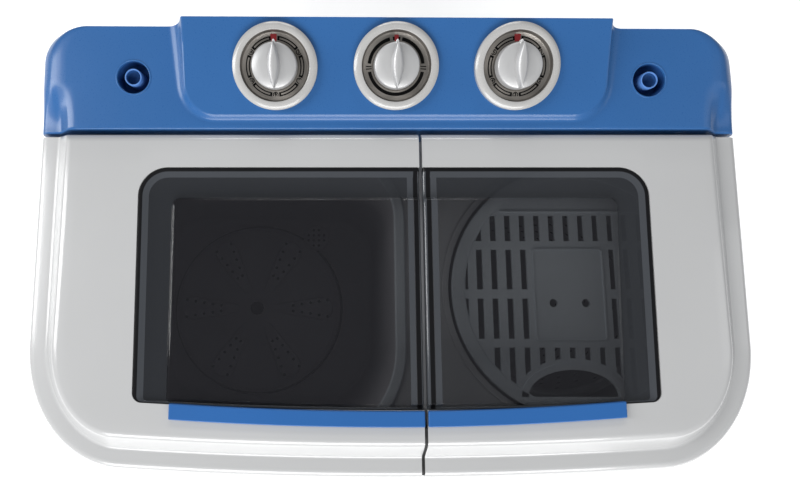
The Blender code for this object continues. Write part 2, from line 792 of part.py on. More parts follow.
def pulsator():
    low = WASH_FLOOR + 0.0025
    profile = [
        (0.0050, low + 0.0180),
        (0.0200, low + 0.0165),
        (0.0500, low + 0.0105),
        (PULSATOR_RADIUS - 0.006, low + 0.0080),
        (PULSATOR_RADIUS, low + 0.0050),
        (PULSATOR_RADIUS, low),
        (0.0050, low),
    ]
    disc = turned("pulsator", profile, (WASH_X, WASH_Y, 0.0), "inner", closed=True, steps=36)
    for i in range(6):
        boolean(disc, pulsator_petal(math.radians(30 + 60 * i)), "UNION")
    head = WASH_FLOOR + 0.0205 + GAP
    screw_profile = [(0.0, head + 0.003), (0.0070, head + 0.0022), (0.0080, head), (0.0, head)]
    screw = turned("pulsator_screw", screw_profile, (WASH_X, WASH_Y, 0.0), "steel", steps=20)
    shaft_top = WASH_FLOOR + 0.0200
    length = shaft_top - 0.140
    shaft_centre = (WASH_X, WASH_Y, shaft_top - length / 2)
    shaft = cylinder("wash_shaft", shaft_centre, 0.0046, length, "steel", steps=20)
    pulley = grooved_pulley("wash_pulley", (WASH_X, WASH_Y), PULLEY_RADIUS, 0.0049, "motor")
    hang("pulsator_pivot", (WASH_X, WASH_Y, WASH_FLOOR), [disc, screw, shaft, pulley])


def grooved_pulley(name, place, radius, bore, look):
    """A wheel with a groove that holds the belt."""
    low = BELT_BOTTOM - 0.003
    high = BELT_BOTTOM + BELT_HEIGHT + 0.003
    profile = [
        (bore, high),
        (radius + 0.003, high),
        (radius + 0.003, high - 0.0025),
        (radius - GAP, high - 0.0040),
        (radius - GAP, low + 0.0040),
        (radius + 0.003, low + 0.0025),
        (radius + 0.003, low),
        (bore, low),
    ]
    return turned(name, profile, (*place, 0.0), look, closed=True, steps=24)


def belt_outline(grow):
    """Loop round both pulleys: an arc on each, joined by straight runs."""
    run = Vector(WASH_MOTOR) - Vector((WASH_X, WASH_Y))
    heading = math.degrees(math.atan2(run.y, run.x))
    big = PULLEY_RADIUS + grow
    small = MOTOR_PULLEY_RADIUS + grow
    lean = math.degrees(math.acos((big - small) / run.length))
    outline = arc(WASH_X, WASH_Y, big, big, heading + lean, heading + 360 - lean, 24)
    outline += arc(*WASH_MOTOR, small, small, heading - lean, heading + lean, 10)
    return outline


def wash_drive():
    top = WASH_FLOOR - SKIN - GAP
    housing = [
        (0.0050, top),
        (0.0300, top),
        (0.0300, top - 0.012),
        (0.0200, top - 0.018),
        (0.0180, 0.185),
        (0.0050, 0.185),
    ]
    turned("wash_gearbox", housing, (WASH_X, WASH_Y, 0.0), "motor", closed=True, steps=32)
    pulsator()
    body = [
        (0.0, top),
        (0.0440, top),
        (0.0500, top - 0.008),
        (0.0500, 0.192),
        (0.0440, 0.184),
        (0.0, 0.184),
    ]
    turned("wash_motor", body, (*WASH_MOTOR, 0.0), "motor", steps=32)
    wheel_top = 0.184 - GAP
    wheel = grooved_pulley("wash_motor_pulley", WASH_MOTOR, MOTOR_PULLEY_RADIUS, 0.0040, "motor")
    length = wheel_top - 0.146
    spindle_centre = (*WASH_MOTOR, wheel_top - length / 2)
    spindle = cylinder("motor_spindle", spindle_centre, 0.0042, length, None, steps=16)
    boolean(wheel, spindle, "UNION")
    hang("wash_motor_pivot", (*WASH_MOTOR, BELT_BOTTOM), [wheel])
    outer = belt_outline(0.0026)
    inner = belt_outline(GAP)
    plate("v_belt", [outer, inner], BELT_BOTTOM + 0.0036, BELT_BOTTOM + BELT_HEIGHT - 0.0036, "rubber")


def drain():
    """Valve below the tub's drain, its plunger, the inner pipe and the outlet at the back."""
    top = WASH_FLOOR - SKIN - GAP
    chamber = [
        (0.0, 0.219),
        (0.0205, 0.219),
        (0.0205, top),
        (0.0240, top),
        (0.0240, 0.215),
        (0.0, 0.215),
    ]
    turned("drain_valve_body", chamber, (DRAIN_X, DRAIN_Y, 0.0), "dark", steps=28)
    stem = [(0.0, 0.262), (0.0050, 0.262), (0.0050, 0.232), (0.0160, 0.228), (0.0160, 0.2195), (0.0, 0.2195)]
    turned("drain_valve_plunger", stem, (DRAIN_X, DRAIN_Y, 0.0), "rubber", steps=24)
    bend = 0.040
    outlet_x, outlet_z = OUTLET
    end = Vector((outlet_x, 0.158, outlet_z))
    route = [(DRAIN_X, DRAIN_Y, 0.2147), (DRAIN_X, DRAIN_Y, outlet_z + bend)]
    for i in range(1, 7):
        angle = math.pi / 2 * i / 6
        run = bend * (1 - math.cos(angle))
        heading = (end.xy - Vector((DRAIN_X, DRAIN_Y))).normalized() * run
        route.append((DRAIN_X + heading.x, DRAIN_Y + heading.y, outlet_z + bend * (1 - math.sin(angle))))
    route += [(outlet_x, 0.150, outlet_z), (outlet_x, 0.1585, outlet_z)]
    rod("drain_pipe", route, 0.0110, "dark", 3)
    spout = [
        (0.0100, 0.0262),
        (0.0120, 0.0262),
        (0.0140, 0.0190),
        (0.0140, 0.0),
        (0.0100, 0.0),
    ]
    place = (outlet_x, 0.1590, outlet_z)
    turned("drain_outlet", spout, place, "dark", closed=True, steps=28, rotation=FACING_REAR)


# ---------------------------------------------------------------- spin side


def spin_tub():
    outer = SPIN_TUB_RADIUS + SKIN
    flange = SPIN_TUB_RADIUS + 0.0055
    flange_top = TUB_RIM_TOP - 0.0018
    profile = [
        (0.0300, SPIN_FLOOR),
        (SPIN_TUB_RADIUS - 0.006, SPIN_FLOOR),
        (SPIN_TUB_RADIUS, SPIN_FLOOR + 0.006),
        (SPIN_TUB_RADIUS, flange_top),
        (flange, flange_top),
        (flange, DECK_TOP + GAP),
        (outer, DECK_TOP + GAP),
        (outer, SPIN_FLOOR - SKIN),
        (0.0300, SPIN_FLOOR - SKIN),
    ]
    turned("spin_tub", profile, (SPIN_X, SPIN_Y, 0.0), "inner", closed=True, steps=40)


def spin_basket():
    """Perforated basket on the spin shaft, with a cone in the middle of its floor."""
    wall = 0.0020
    profile = [
        (0.0, BASKET_BOTTOM + 0.060),
        (0.0120, BASKET_BOTTOM + 0.056),
        (0.0300, BASKET_BOTTOM + 0.006),
        (BASKET_RADIUS - 0.012, BASKET_BOTTOM + wall),
        (BASKET_RADIUS - wall, BASKET_BOTTOM + 0.012),
        (BASKET_RADIUS - wall, BASKET_TOP - 0.012),
        (BASKET_RADIUS - 0.010, BASKET_TOP - 0.002),
        (BASKET_RADIUS - 0.010, BASKET_TOP),
        (BASKET_RADIUS, BASKET_TOP),
        (BASKET_RADIUS, BASKET_BOTTOM + 0.010),
        (BASKET_RADIUS - 0.010, BASKET_BOTTOM),
        (0.0, BASKET_BOTTOM),
    ]
    basket = turned("spin_basket", profile, (SPIN_X, SPIN_Y, 0.0), "steel", steps=ROUND_STEPS)
    for level in (0.260, 0.400):
        for i in range(4):
            place = (SPIN_X, SPIN_Y, level + 0.030 * (i % 2))
            drill = cylinder("basket_hole", place, 0.0040, 0.30, None, (math.pi / 2, 0, math.pi * i / 4), 6)
            boolean(basket, drill)
    shaft_top = BASKET_BOTTOM - GAP
    drum_radius = 0.0350
    drive = [
        (0.0, shaft_top),
        (0.0070, shaft_top),
        (0.0070, 0.1720),
        (drum_radius, 0.1720),
        (drum_radius, 0.1600),
        (0.0070, 0.1600),
        (0.0070, 0.1563),
        (0.0, 0.1563),
    ]
    shaft = turned("spin_shaft", drive, (SPIN_X, SPIN_Y, 0.0), "steel", steps=32)
    hang("spin_pivot", (SPIN_X, SPIN_Y, BASKET_BOTTOM), [basket, shaft])


def spin_drive():
    body = [
        (0.0, 0.1560),
        (0.0420, 0.1560),
        (0.0560, 0.1480),
        (0.0560, 0.0840),
        (0.0620, 0.0820),
        (0.0620, 0.0760),
        (0.0, 0.0760),
    ]
    turned("spin_motor", body, (SPIN_X, SPIN_Y, 0.0), "motor", steps=32)
    for i in range(3):
        angle = math.radians(90 + 120 * i)
        centre = (SPIN_X + 0.050 * math.cos(angle), SPIN_Y + 0.050 * math.sin(angle))
        spring("spin_motor_spring_%d" % (i + 1), centre, 0.0236, 0.0735)
    seal = [
        (0.0090, 0.1980),
        (0.0150, 0.1980),
        (0.0200, 0.1900),
        (0.0295, 0.1884),
        (0.0295, 0.1840),
        (0.0160, 0.1830),
        (0.0090, 0.1780),
    ]
    turned("spin_bellows_seal", seal, (SPIN_X, SPIN_Y, 0.0), "rubber", closed=True, steps=28)
    lever = [(x, -0.0045) for x in (-0.090, 0.004)] + [(0.008, 0.0), (0.004, 0.0045), (-0.090, 0.0045)]
    arm = plate("brake_lever", [lever], 0.1610, 0.1710, "steel")
    pivot = (SPIN_X + 0.055, SPIN_Y - 0.0455)
    arm.location.x = pivot[0]
    arm.location.y = pivot[1]
    hang("brake_pivot", (*pivot, 0.166), [arm])


def spring(name, centre, low, high):
    radius = 0.0100
    turns = 4
    per_turn = 8
    route = []
    for i in range(turns * per_turn + 1):
        angle = 2 * math.pi * i / per_turn
        rise = low + (high - low) * i / (turns * per_turn)
        route.append((centre[0] + radius * math.cos(angle), centre[1] + radius * math.sin(angle), rise))
    rod(name, route, 0.0013, "steel", 1)


def cover_slots():
    """Drain slots in rows, left out over the middle plate and trimmed to the rim and the finger scoop."""
    slots = []
    reach = COVER_RADIUS - COVER_BAND
    plate_left, plate_right, plate_front, plate_rear = COVER_PLATE
    for low, high in SLOT_ROWS:
        for i in range(-7, 9):
            x = SLOT_CENTRE_X + i * SLOT_PITCH
            room = reach * reach - (abs(x) + SLOT_WIDTH / 2) ** 2
            if room <= 0:
                continue
            edge = math.sqrt(room)
            front = max(low, -edge, scoop_arch(x))
            rear = min(high, edge)
            over_plate = plate_left < x < plate_right and front < plate_rear and rear > plate_front
            if rear - front > 0.005 and not over_plate:
                slots.append((x - SLOT_WIDTH / 2, x + SLOT_WIDTH / 2, front, rear))
    return slots


def scoop_arch(x):
    """Y, from the cover's centre, of the border that arches over the finger scoop."""
    part = (x - SCOOP_X) / (SCOOP_HALF_WIDTH + SCOOP_BORDER)
    if abs(part) > 1:
        return -COVER_RADIUS
    return SCOOP_LOW + (SCOOP_HEIGHT + SCOOP_BORDER) * math.sqrt(1 - part * part)


def spin_safety_cover():
    """A round slotted lid over the spin basket, hinged at the back, with a finger scoop in front."""
    tab = 0.022
    start = math.degrees(math.acos(tab / COVER_RADIUS))
    edge = arc(0.0, 0.0, COVER_RADIUS, COVER_RADIUS, 180 - start, 360 + start, 48)
    hinge_y = COVER_HINGE_Y - SPIN_Y
    edge += [(tab, hinge_y), (-tab, hinge_y)]
    scoop = arc(SCOOP_X, SCOOP_LOW, SCOOP_HALF_WIDTH, SCOOP_HEIGHT, 0, 180, 16)
    holes = [circle(x, COVER_HOLE_Y, COVER_HOLE_RADIUS, 12) for x in COVER_HOLE_XS]
    top = COVER_BOTTOM + COVER_THICKNESS
    cover = plate("spin_safety_cover", [edge, scoop] + holes, COVER_BOTTOM, top, "cover")
    cover.location.x = SPIN_X
    cover.location.y = SPIN_Y
    turn = (0, math.pi / 2, 0)
    barrel = (SPIN_X, COVER_HINGE_Y, COVER_HINGE_Z)
    boolean(cover, cylinder("cover_barrel", barrel, 0.0040, 2 * tab + 0.002, None, turn, 20), "UNION")
    outlines = [[(a, c), (b, c), (b, d), (a, d)] for a, b, c, d in cover_slots()]
    slots = plate("cover_slots", outlines, COVER_BOTTOM - 0.002, top + 0.002, None)
    slots.location.x = SPIN_X
    slots.location.y = SPIN_Y
    boolean(cover, slots)
    hang("cover_pivot", barrel, [cover])


# ---------------------------------------------------------------- small fittings


def fittings():
    profile = [(0.0, 0.0650), (0.0170, 0.0650), (0.0180, 0.0640), (0.0180, 0.0), (0.0, 0.0)]
    turned("capacitor", profile, (0.0200, 0.1200, 0.0218), "inner", steps=24)
    gland = [
        (0.0040, 0.0090),
        (0.0060, 0.0090),
        (0.0080, 0.0040),
        (0.0080, -0.0060),
        (0.0040, -0.0060),
    ]
    place = (GLAND[0], 0.1755, GLAND[1])
    turned("cable_gland", gland, place, "dark", closed=True, steps=24, rotation=FACING_REAR)


def main():
    clear_scene()
    base_tray()
    feet()
    cabinet_shell()
    rear_cover()
    tub_deck()
    wash_tub()
    drain_grille()
    wash_drive()
    drain()
    spin_tub()
    spin_basket()
    spin_drive()
    spin_safety_cover()
    control_panel()
    controls()
    hinge_brackets()
    lid("wash", -1)
    lid("spin", 1)
    fittings()


main()
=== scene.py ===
"""Twin tub washer seen from above: detailed pieces, materials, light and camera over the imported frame.

Metres, +Z up, -Y is the front, the origin is on the floor. The dimensions repeat those of the CAD parts,
apart from the stepped rim at the sides and the front, which stands up to 5 mm proud of them.
"""

import math
from contextlib import contextmanager

import bmesh
import bpy
from mathutils import Matrix, Vector


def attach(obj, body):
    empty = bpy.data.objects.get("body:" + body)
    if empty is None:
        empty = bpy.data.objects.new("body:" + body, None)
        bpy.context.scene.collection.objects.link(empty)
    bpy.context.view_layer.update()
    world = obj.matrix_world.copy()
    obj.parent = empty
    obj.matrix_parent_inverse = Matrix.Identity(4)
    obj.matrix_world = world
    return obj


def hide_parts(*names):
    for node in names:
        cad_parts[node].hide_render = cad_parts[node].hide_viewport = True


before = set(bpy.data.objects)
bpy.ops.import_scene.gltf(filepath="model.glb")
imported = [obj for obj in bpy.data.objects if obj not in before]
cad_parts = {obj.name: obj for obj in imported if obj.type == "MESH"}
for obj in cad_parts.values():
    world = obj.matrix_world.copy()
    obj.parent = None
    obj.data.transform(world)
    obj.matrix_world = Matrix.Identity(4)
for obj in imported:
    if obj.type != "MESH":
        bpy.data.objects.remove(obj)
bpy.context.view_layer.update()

# Plan of the whole machine
HALF_WIDTH = 0.3035
FRONT_Y = -0.1904
REAR_Y = 0.1855
FRONT_BOW = 0.144
CORNER_START_X = 0.2235
CORNER_RADIUS_Y = 0.1007
REAR_RADIUS = 0.026
CORNER_STEPS = 32
SIDE_STEPS = 12

# Levels
CABINET_BOTTOM = 0.030
DECK_TOP = 0.554
LID_BOTTOM = 0.5555
LID_TOP = 0.590
LEDGE_BACK = 0.577
LEDGE_DROP = 0.026

# Lids
LID_GAP_X = 0.026
LID_GAP = 0.0026
LID_REAR_Y = 0.0955
HINGE_Y = 0.0875
HINGE_Z = 0.582
ROLL_RADIUS = 0.008
RIM_WIDTH = 0.042
RIM_TOP_INSET = 0.0305
RIM_SHELF_INSET = 0.0178
# Set-back and clearance of the dark strip at the gap's front end, which is painted shade
GAP_SHADE_SETBACK = 0.0012
GAP_SHADE_CLEARANCE = 0.0003
WINDOW_SIDE_X = {-1: 0.2073, 1: 0.2135}
WINDOW_SPREAD = {-1: 0.0034, 1: 0.0030}
WINDOW_FRONT = 0.0572
WINDOW_REAR_Y = 0.0650
WINDOW_FRONT_RADIUS = 0.008
WINDOW_REAR_RADIUS = 0.024
PLATEAU_SIDE_X = {-1: 0.1803, 1: 0.1849}
PLATEAU_SPREAD = {-1: 0.0018, 1: 0.0048}
PLATEAU_REAR_Y = 0.0390
PLATEAU_TOP = 0.5910
GRIP_SIDE_X = {-1: 0.1765, 1: 0.1830}
GRIP_FRONT = 0.0446
GRIP_REAR = 0.0571
GRIP_BOW = {-1: 0.045, 1: 0.080}
GRIP_HEIGHT = 0.0042
FRAME_WALL = 0.0026

# Panes. GAP_BANDS are distances from the gap: the lip and the black line end, the light line starts and ends.
# The light line and the bevel's lighter colour are painted reflection
PANE_EDGE = 0.0036
PANE_BEVEL = 0.0084
PANE_ROLL = 0.0026
PANE_BOTTOM = 0.5850
PANE_STEPS = 20
GAP_BANDS = {-1: (0.0016, 0.0052, 0.0056, 0.0104), 1: (0.0028, 0.0064, 0.0068, 0.0118)}
# The bevel look is a lighter colour that paints in the reflection along the pane's bevel and beside the gap
PANE_LOOKS = ("smoke", "seal", "bevel", "shade")
SMOKE, SEAL, BEVEL, SHADE = range(4)
PANE_GRAIN = {"grain": 300.0, "grain_depth": 0.000004}

# Control panel
PANEL_FRONT_Y = 0.0990
PANEL_LOW = 0.5543
PANEL_WALL = 0.0022
PANEL_EDGE = 0.0380
PANEL_REAR_INSET = 0.0020
PANEL_COLUMN_X = 0.236
PANEL_LIP = 0.0016
PANEL_TAPER = {-1: 0.0020, 1: 0.0062}
PANEL_SKEW = 0.0055
PANEL_CENTRE_X = 0.0045
# Over these Y the stepped rim turns into a plain rounded edge of this width
LEDGE_FADE = (0.100, 0.140)
ROUND_WIDTH = 0.024
WING_TOP = 0.588
WING_SLOPE = 0.185
RAISED_TOP = 0.5935
RAISED_HALF_WIDTH = 0.178
RAISED_FRONT_Y = 0.1087
RAISED_CORNER = 0.026
RAISED_SLOPE = 0.3516
RAISED_TILT = math.atan(RAISED_SLOPE)
INLETS = {"wash": (-0.2176, 0.1420), "spin": (0.2208, 0.1396)}
INLET_HOLE = 0.0143
INLET_PATCH = 0.0172

# Dials
DIAL_PITCH = 0.1003
DIAL_Y = 0.1463
DISH_INNER = 0.0150
DISH_OUTER = 0.0272
DISH_LOW = 0.0010
DISH_HIGH = 0.0020
BEZEL_INNER = 0.0286
BEZEL_OUTER = 0.0353
KNOB_BOTTOM = 0.0022
PRINT_LIFT = 0.00006
ZERO_LIFT = 0.00009
NUMBER_RING = (0.00170, 0.00240)
NUMBER_SIZES = {1: 0.0034, 2: 0.0026}
RIDGE_LENGTH = 0.0184
RIDGE_WIDTH = 0.0050

# Wash side
WASH_X = -0.1500
WASH_Y = -0.0431
WASH_FLOOR = 0.287
WASH_MOUTH = (-0.2760, 0.0057, -0.1665, 0.0825)
WASH_FRONT_CORNER = 0.080
WASH_REAR_CORNER = 0.055
TUB_RIM_TOP = 0.5573
TUB_RIM_WIDTH = 0.0095
WASH_TUB_WALL = 0.0025
PULSATOR_RADIUS = 0.1085
PULSATOR_BLADES = 6
DRAIN_X = -0.0741
DRAIN_Y = 0.0524

# Spin side
SPIN_X = 0.1651
SPIN_Y = -0.0361
COVER_RADIUS = 0.1100
COVER_TOP = 0.5590
COVER_THICKNESS = 0.0030
COVER_HINGE_Y = 0.0850
COVER_HINGE_Z = 0.5605
SLOT_CENTRE_X = -0.0078
SLOT_PITCH = 0.0129
SLOT_WIDTH = 0.0053
SLOT_REACH = 8
SLOT_SHORTEST = 0.004
SLOT_ROWS = ((0.0428, 0.0659), (0.0005, 0.0354), (-0.0419, -0.0075), (-0.0900, -0.0493))
COVER_PLATE = (-0.0390, 0.0228, -0.0435, 0.0361)
COVER_BAND = 0.0115
COVER_TAB = 0.022
COVER_RAISED = 0.0009
COVER_LINE = 0.0014
SCOOP_X = -0.0090
SCOOP_LOW = -0.0905
SCOOP_HALF_WIDTH = 0.0387
SCOOP_HEIGHT = 0.0225
SCOOP_BORDER = 0.0060
SCOOP_LAND = 0.0035
SPIN_TUB_RADIUS = 0.1122
SPIN_TUB_WALL = 0.003
SPIN_TUB_FLANGE = 0.0055
SPIN_FLOOR = 0.188
BASKET_RADIUS = 0.1000
BASKET_WALL = 0.0020
BASKET_BOTTOM = 0.205
BASKET_TOP = 0.500

# Cabinet
CABINET_TOP = 0.5497
CABINET_INSET = 0.0080
TRAY_TOP = 0.040
TRAY_INSET = 0.0125
FOOT_HEIGHT = 0.018
FEET = {
    "foot_front_left": (-0.235, -0.125),
    "foot_front_right": (0.235, -0.125),
    "foot_rear_left": (-0.245, 0.140),
    "foot_rear_right": (0.245, 0.140),
}
REAR_COVER_Y = 0.1799
REAR_COVER_MIDDLE = 0.330
REAR_COVER_WALL = 0.0020
REAR_SCREW_X = (-0.200, 0.0, 0.200)
REAR_SCREW_Z = (0.180, 0.480)
OUTLET = (-0.120, 0.1590, 0.100)
GLAND = (0.200, 0.1755, 0.110)

# Materials: the stretch of a noise that is used, how much the gloss varies, and the coat's own gloss
NOISE_LOW = 0.3
NOISE_HIGH = 0.7
GLOSS_SPREAD = 0.12
COAT_ROUGHNESS = 0.08


# ---------------------------------------------------------------- materials


def new_material(name):
    """A material with its shader, and the object coordinates that its textures use."""
    material = bpy.data.materials.new(name)
    material.use_nodes = True
    tree = material.node_tree
    shader = tree.nodes["Principled BSDF"]
    coordinates = tree.nodes.new("ShaderNodeTexCoord")
    return material, tree, shader, coordinates.outputs["Object"]


def set_inputs(node, values):
    for socket, value in values.items():
        node.inputs[socket].default_value = value


def fed(tree, kind, values, socket, source):
    """A new node with these values, and the source linked to one of its sockets."""
    node = tree.nodes.new(kind)
    set_inputs(node, values)
    tree.links.new(source, node.inputs[socket])
    return node


def scaled(tree, place, scale):
    return fed(tree, "ShaderNodeMapping", {"Scale": scale}, "Vector", place).outputs["Vector"]


def noise(tree, place, scale, detail=3.0, stretch=None):
    if stretch:
        place = scaled(tree, place, stretch)
    values = {"Scale": scale, "Detail": detail}
    return fed(tree, "ShaderNodeTexNoise", values, "Vector", place).outputs["Fac"]


def spread(tree, value, low, high):
    """The noise value spread over low to high."""
    values = {"From Min": NOISE_LOW, "From Max": NOISE_HIGH, "To Min": low, "To Max": high}
    return fed(tree, "ShaderNodeMapRange", values, "Value", value).outputs["Result"]


def tint(tree, value, colour, variation):
    """A colour that varies a little in brightness with the value."""
    mix = tree.nodes.new("ShaderNodeMix")
    mix.data_type = "RGBA"
    mix.inputs["A"].default_value = (*[c * (1 - variation) for c in colour], 1.0)
    mix.inputs["B"].default_value = (*[min(c * (1 + variation), 1.0) for c in colour], 1.0)
    tree.links.new(value, mix.inputs["Factor"])
    return mix.outputs["Result"]


def bump(tree, shader, value, distance):
    node = fed(tree, "ShaderNodeBump", {"Distance": distance, "Strength": 1.0}, "Height", value)
    tree.links.new(node.outputs["Normal"], shader.inputs["Normal"])


def finish_material(
    name,
    colour,
    roughness,
    metallic=0.0,
    variation=0.03,
    grain=900.0,
    grain_depth=0.00002,
    coat=0.0,
    alpha=1.0,
    stretch=None,
    specular=0.5,
):
    """Moulded plastic, rubber or metal: faint mottling, uneven gloss and a fine surface grain."""
    material, tree, shader, place = new_material(name)
    cloud = noise(tree, place, 14.0)
    fine = noise(tree, place, grain, 2.0, stretch)
    shade = tint(tree, spread(tree, cloud, 0.0, 1.0), colour, variation)
    tree.links.new(shade, shader.inputs["Base Color"])
    gloss = spread(tree, fine, roughness * (1 - GLOSS_SPREAD), roughness * (1 + GLOSS_SPREAD))
    tree.links.new(gloss, shader.inputs["Roughness"])
    bump(tree, shader, fine, grain_depth)
    set_inputs(shader, {"Metallic": metallic, "Alpha": alpha, "Specular IOR Level": specular})
    set_inputs(shader, {"Coat Weight": coat, "Coat Roughness": COAT_ROUGHNESS})
    return material


def make_materials():
    return {
        "frame": finish_material(
            "frame_plastic", (0.488, 0.490, 0.490), 0.24, coat=0.45, variation=0.012, grain_depth=0.000006
        ),
        "cabinet": finish_material("cabinet_paint", (0.58, 0.585, 0.59), 0.30, coat=0.15, variation=0.012),
        "blue": finish_material("panel_plastic", (0.027, 0.113, 0.308), 0.30, coat=0.12, specular=0.35),
        "strip": finish_material("grip_plastic", (0.024, 0.122, 0.365), 0.32, specular=0.4),
        # Dark navy for the inside of the inlets: painted shade
        "recess": finish_material("inlet_painted_shade", (0.014, 0.062, 0.205), 0.70, specular=0.15),
        # Lighter blue than the panel: the spout's plastic, and partly a painted highlight for the light ring
        # on its rim
        "spout": finish_material("spout_plastic_painted_sheen", (0.090, 0.225, 0.560), 0.40, specular=0.4),
        "smoke": finish_material("smoky_pane", (0.014, 0.014, 0.017), 0.09, alpha=0.46, **PANE_GRAIN),
        "shade": finish_material("pane_margin", (0.021, 0.023, 0.027), 0.10, alpha=0.90, **PANE_GRAIN),
        # Lighter grey on the pane's bevel bands: painted reflection
        "bevel": finish_material("pane_bevel_painted_sheen", (0.055, 0.060, 0.068), 0.14, alpha=0.94, **PANE_GRAIN),
        "seal": finish_material("pane_border", (0.006, 0.006, 0.007), 0.35, specular=0.2),
        "tub": finish_material("tub_plastic", (0.50, 0.51, 0.53), 0.38),
        "bowl": finish_material("bowl_plastic", (0.52, 0.51, 0.54), 0.45),
        "cover": finish_material("cover_plastic", (0.64, 0.69, 0.74), 0.40),
        "bezel": finish_material("bezel_plastic", (0.44, 0.435, 0.425), 0.26, coat=0.35, variation=0.02),
        "dish": dish_material(),
        "knob": finish_material("knob_satin", (0.50, 0.50, 0.50), 0.40, metallic=0.30, variation=0.02),
        "nub": finish_material("pointer_plastic", (0.80, 0.80, 0.80), 0.30),
        "ink": finish_material("dial_ink", (0.004, 0.004, 0.004), 0.7, specular=0.05),
        "red": finish_material("dial_red", (0.33, 0.018, 0.022), 0.45),
        "dark": finish_material("dark_plastic", (0.028, 0.029, 0.031), 0.52),
        "rubber": finish_material("rubber", (0.018, 0.018, 0.018), 0.75, grain=500.0, grain_depth=0.00006),
        "steel": finish_material("steel", (0.55, 0.55, 0.56), 0.30, metallic=1.0, stretch=(1, 1, 14)),
        "motor": finish_material("zinc_plate", (0.36, 0.37, 0.38), 0.42, metallic=1.0, variation=0.12),
        "hole": finish_material("hole_shade", (0.010, 0.010, 0.012), 0.8),
    }


def dish_material():
    """Metal turned on a lathe: fine rings about the piece's own axis, and light and dark patches here and
    there that are painted sheen and shade.
    """
    material, tree, shader, place = new_material("dish_metal")
    radius = tree.nodes.new("ShaderNodeVectorMath")
    radius.operation = "LENGTH"
    tree.links.new(scaled(tree, place, (1.0, 1.0, 0.0)), radius.inputs[0])
    along = fed(tree, "ShaderNodeCombineXYZ", {}, "X", radius.outputs["Value"])
    rings = noise(tree, along.outputs["Vector"], 2600.0, 2.0)
    # Large light and dark patches: painted sheen and shade on the dish
    cloud = noise(tree, place, 45.0, 1.0)
    shade = tint(tree, spread(tree, cloud, 0.0, 1.0), (0.275, 0.255, 0.232), 0.28)
    tree.links.new(shade, shader.inputs["Base Color"])
    tree.links.new(spread(tree, rings, 0.26, 0.44), shader.inputs["Roughness"])
    bump(tree, shader, rings, 0.00004)
    set_inputs(shader, {"Metallic": 0.75})
    return material


MATERIALS = {}


# ---------------------------------------------------------------- mesh tools


@contextmanager
def editing(mesh):
    """The mesh opened for editing, and written back at the end."""
    shape = bmesh.new()
    shape.from_mesh(mesh)
    yield shape
    shape.to_mesh(mesh)
    shape.free()


def added(name, data):
    """A new object in the scene."""
    obj = bpy.data.objects.new(name, data)
    bpy.context.scene.collection.objects.link(obj)
    return obj


def piece(name, points, faces, look, body, replaces=(), smooth=True, marks=None):
    """A mesh riding on a body. With marks, look holds several looks and each face's mark picks one."""
    mesh = bpy.data.meshes.new(name)
    mesh.from_pydata(points, [], faces)
    for each in look if marks else (look,):
        mesh.materials.append(MATERIALS[each])
    if marks:
        mesh.polygons.foreach_set("material_index", marks)
    with editing(mesh) as shape:
        bmesh.ops.remove_doubles(shape, verts=shape.verts, dist=1e-6)
    if smooth:
        mesh.shade_smooth()
    return settle(added(name, mesh), body, replaces)


def settle(obj, body, replaces=()):
    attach(obj, body)
    if replaces:
        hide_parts(*replaces)
    return obj


def face_out(obj):
    with editing(obj.data) as shape:
        bmesh.ops.recalc_face_normals(shape, faces=shape.faces)
    return obj


def grid_faces(rows, columns, first=0, closed=False):
    faces = []
    for i in range(rows - 1):
        for j in range(columns if closed else columns - 1):
            k = (j + 1) % columns
            faces.append(
                (
                    first + i * columns + j,
                    first + i * columns + k,
                    first + (i + 1) * columns + k,
                    first + (i + 1) * columns + j,
                )
            )
    return faces


def add_skin(points, faces, rows, closed=False):
    """Add a surface through rows of equally many points."""
    faces += grid_faces(len(rows), len(rows[0]), len(points), closed)
    for row in rows:
        points += row


def skin(rows, closed=False):
    """Points and faces of a surface through rows of equally many points."""
    points = []
    faces = []
    add_skin(points, faces, rows, closed)
    return points, faces


def end_face(rows):
    """One face over the last row of a skin whose rows are closed."""
    size = len(rows[0])
    return tuple(range((len(rows) - 1) * size, len(rows) * size))


def at(x, y, z=0.0):
    return Matrix.Translation((x, y, z))


def turn(angle, axis):
    return Matrix.Rotation(angle, 4, axis)


def solid_skin(obj, thickness, bevel, segments=3):
    """Give a skin its thickness inward, and round its sharp edges."""
    wall = obj.modifiers.new("thickness", "SOLIDIFY")
    wall.thickness = thickness
    wall.offset = -1.0
    wall.use_even_offset = True
    wall.use_quality_normals = True
    rounded(obj, bevel, segments)


def rounded(obj, width, segments=3, angle=40.0):
    edges = obj.modifiers.new("rounded_edges", "BEVEL")
    edges.width = width
    edges.segments = segments
    edges.limit_method = "ANGLE"
    edges.angle_limit = math.radians(angle)
    edges.harden_normals = True


def lathe(name, profile, place, look, body, replaces=(), steps=96, closed=False):
    """A surface turned round the Z axis of place, from (radius, height) points."""
    rows = []
    for radius, height in profile:
        row = []
        for i in range(steps):
            angle = 2 * math.pi * i / steps
            row.append(Vector((radius * math.cos(angle), radius * math.sin(angle), height)))
        rows.append(row)
    if closed:
        rows.append(rows[0])
    points, faces = skin(rows, closed=True)
    points = [place @ point for point in points]
    return face_out(piece(name, points, faces, look, body, replaces))


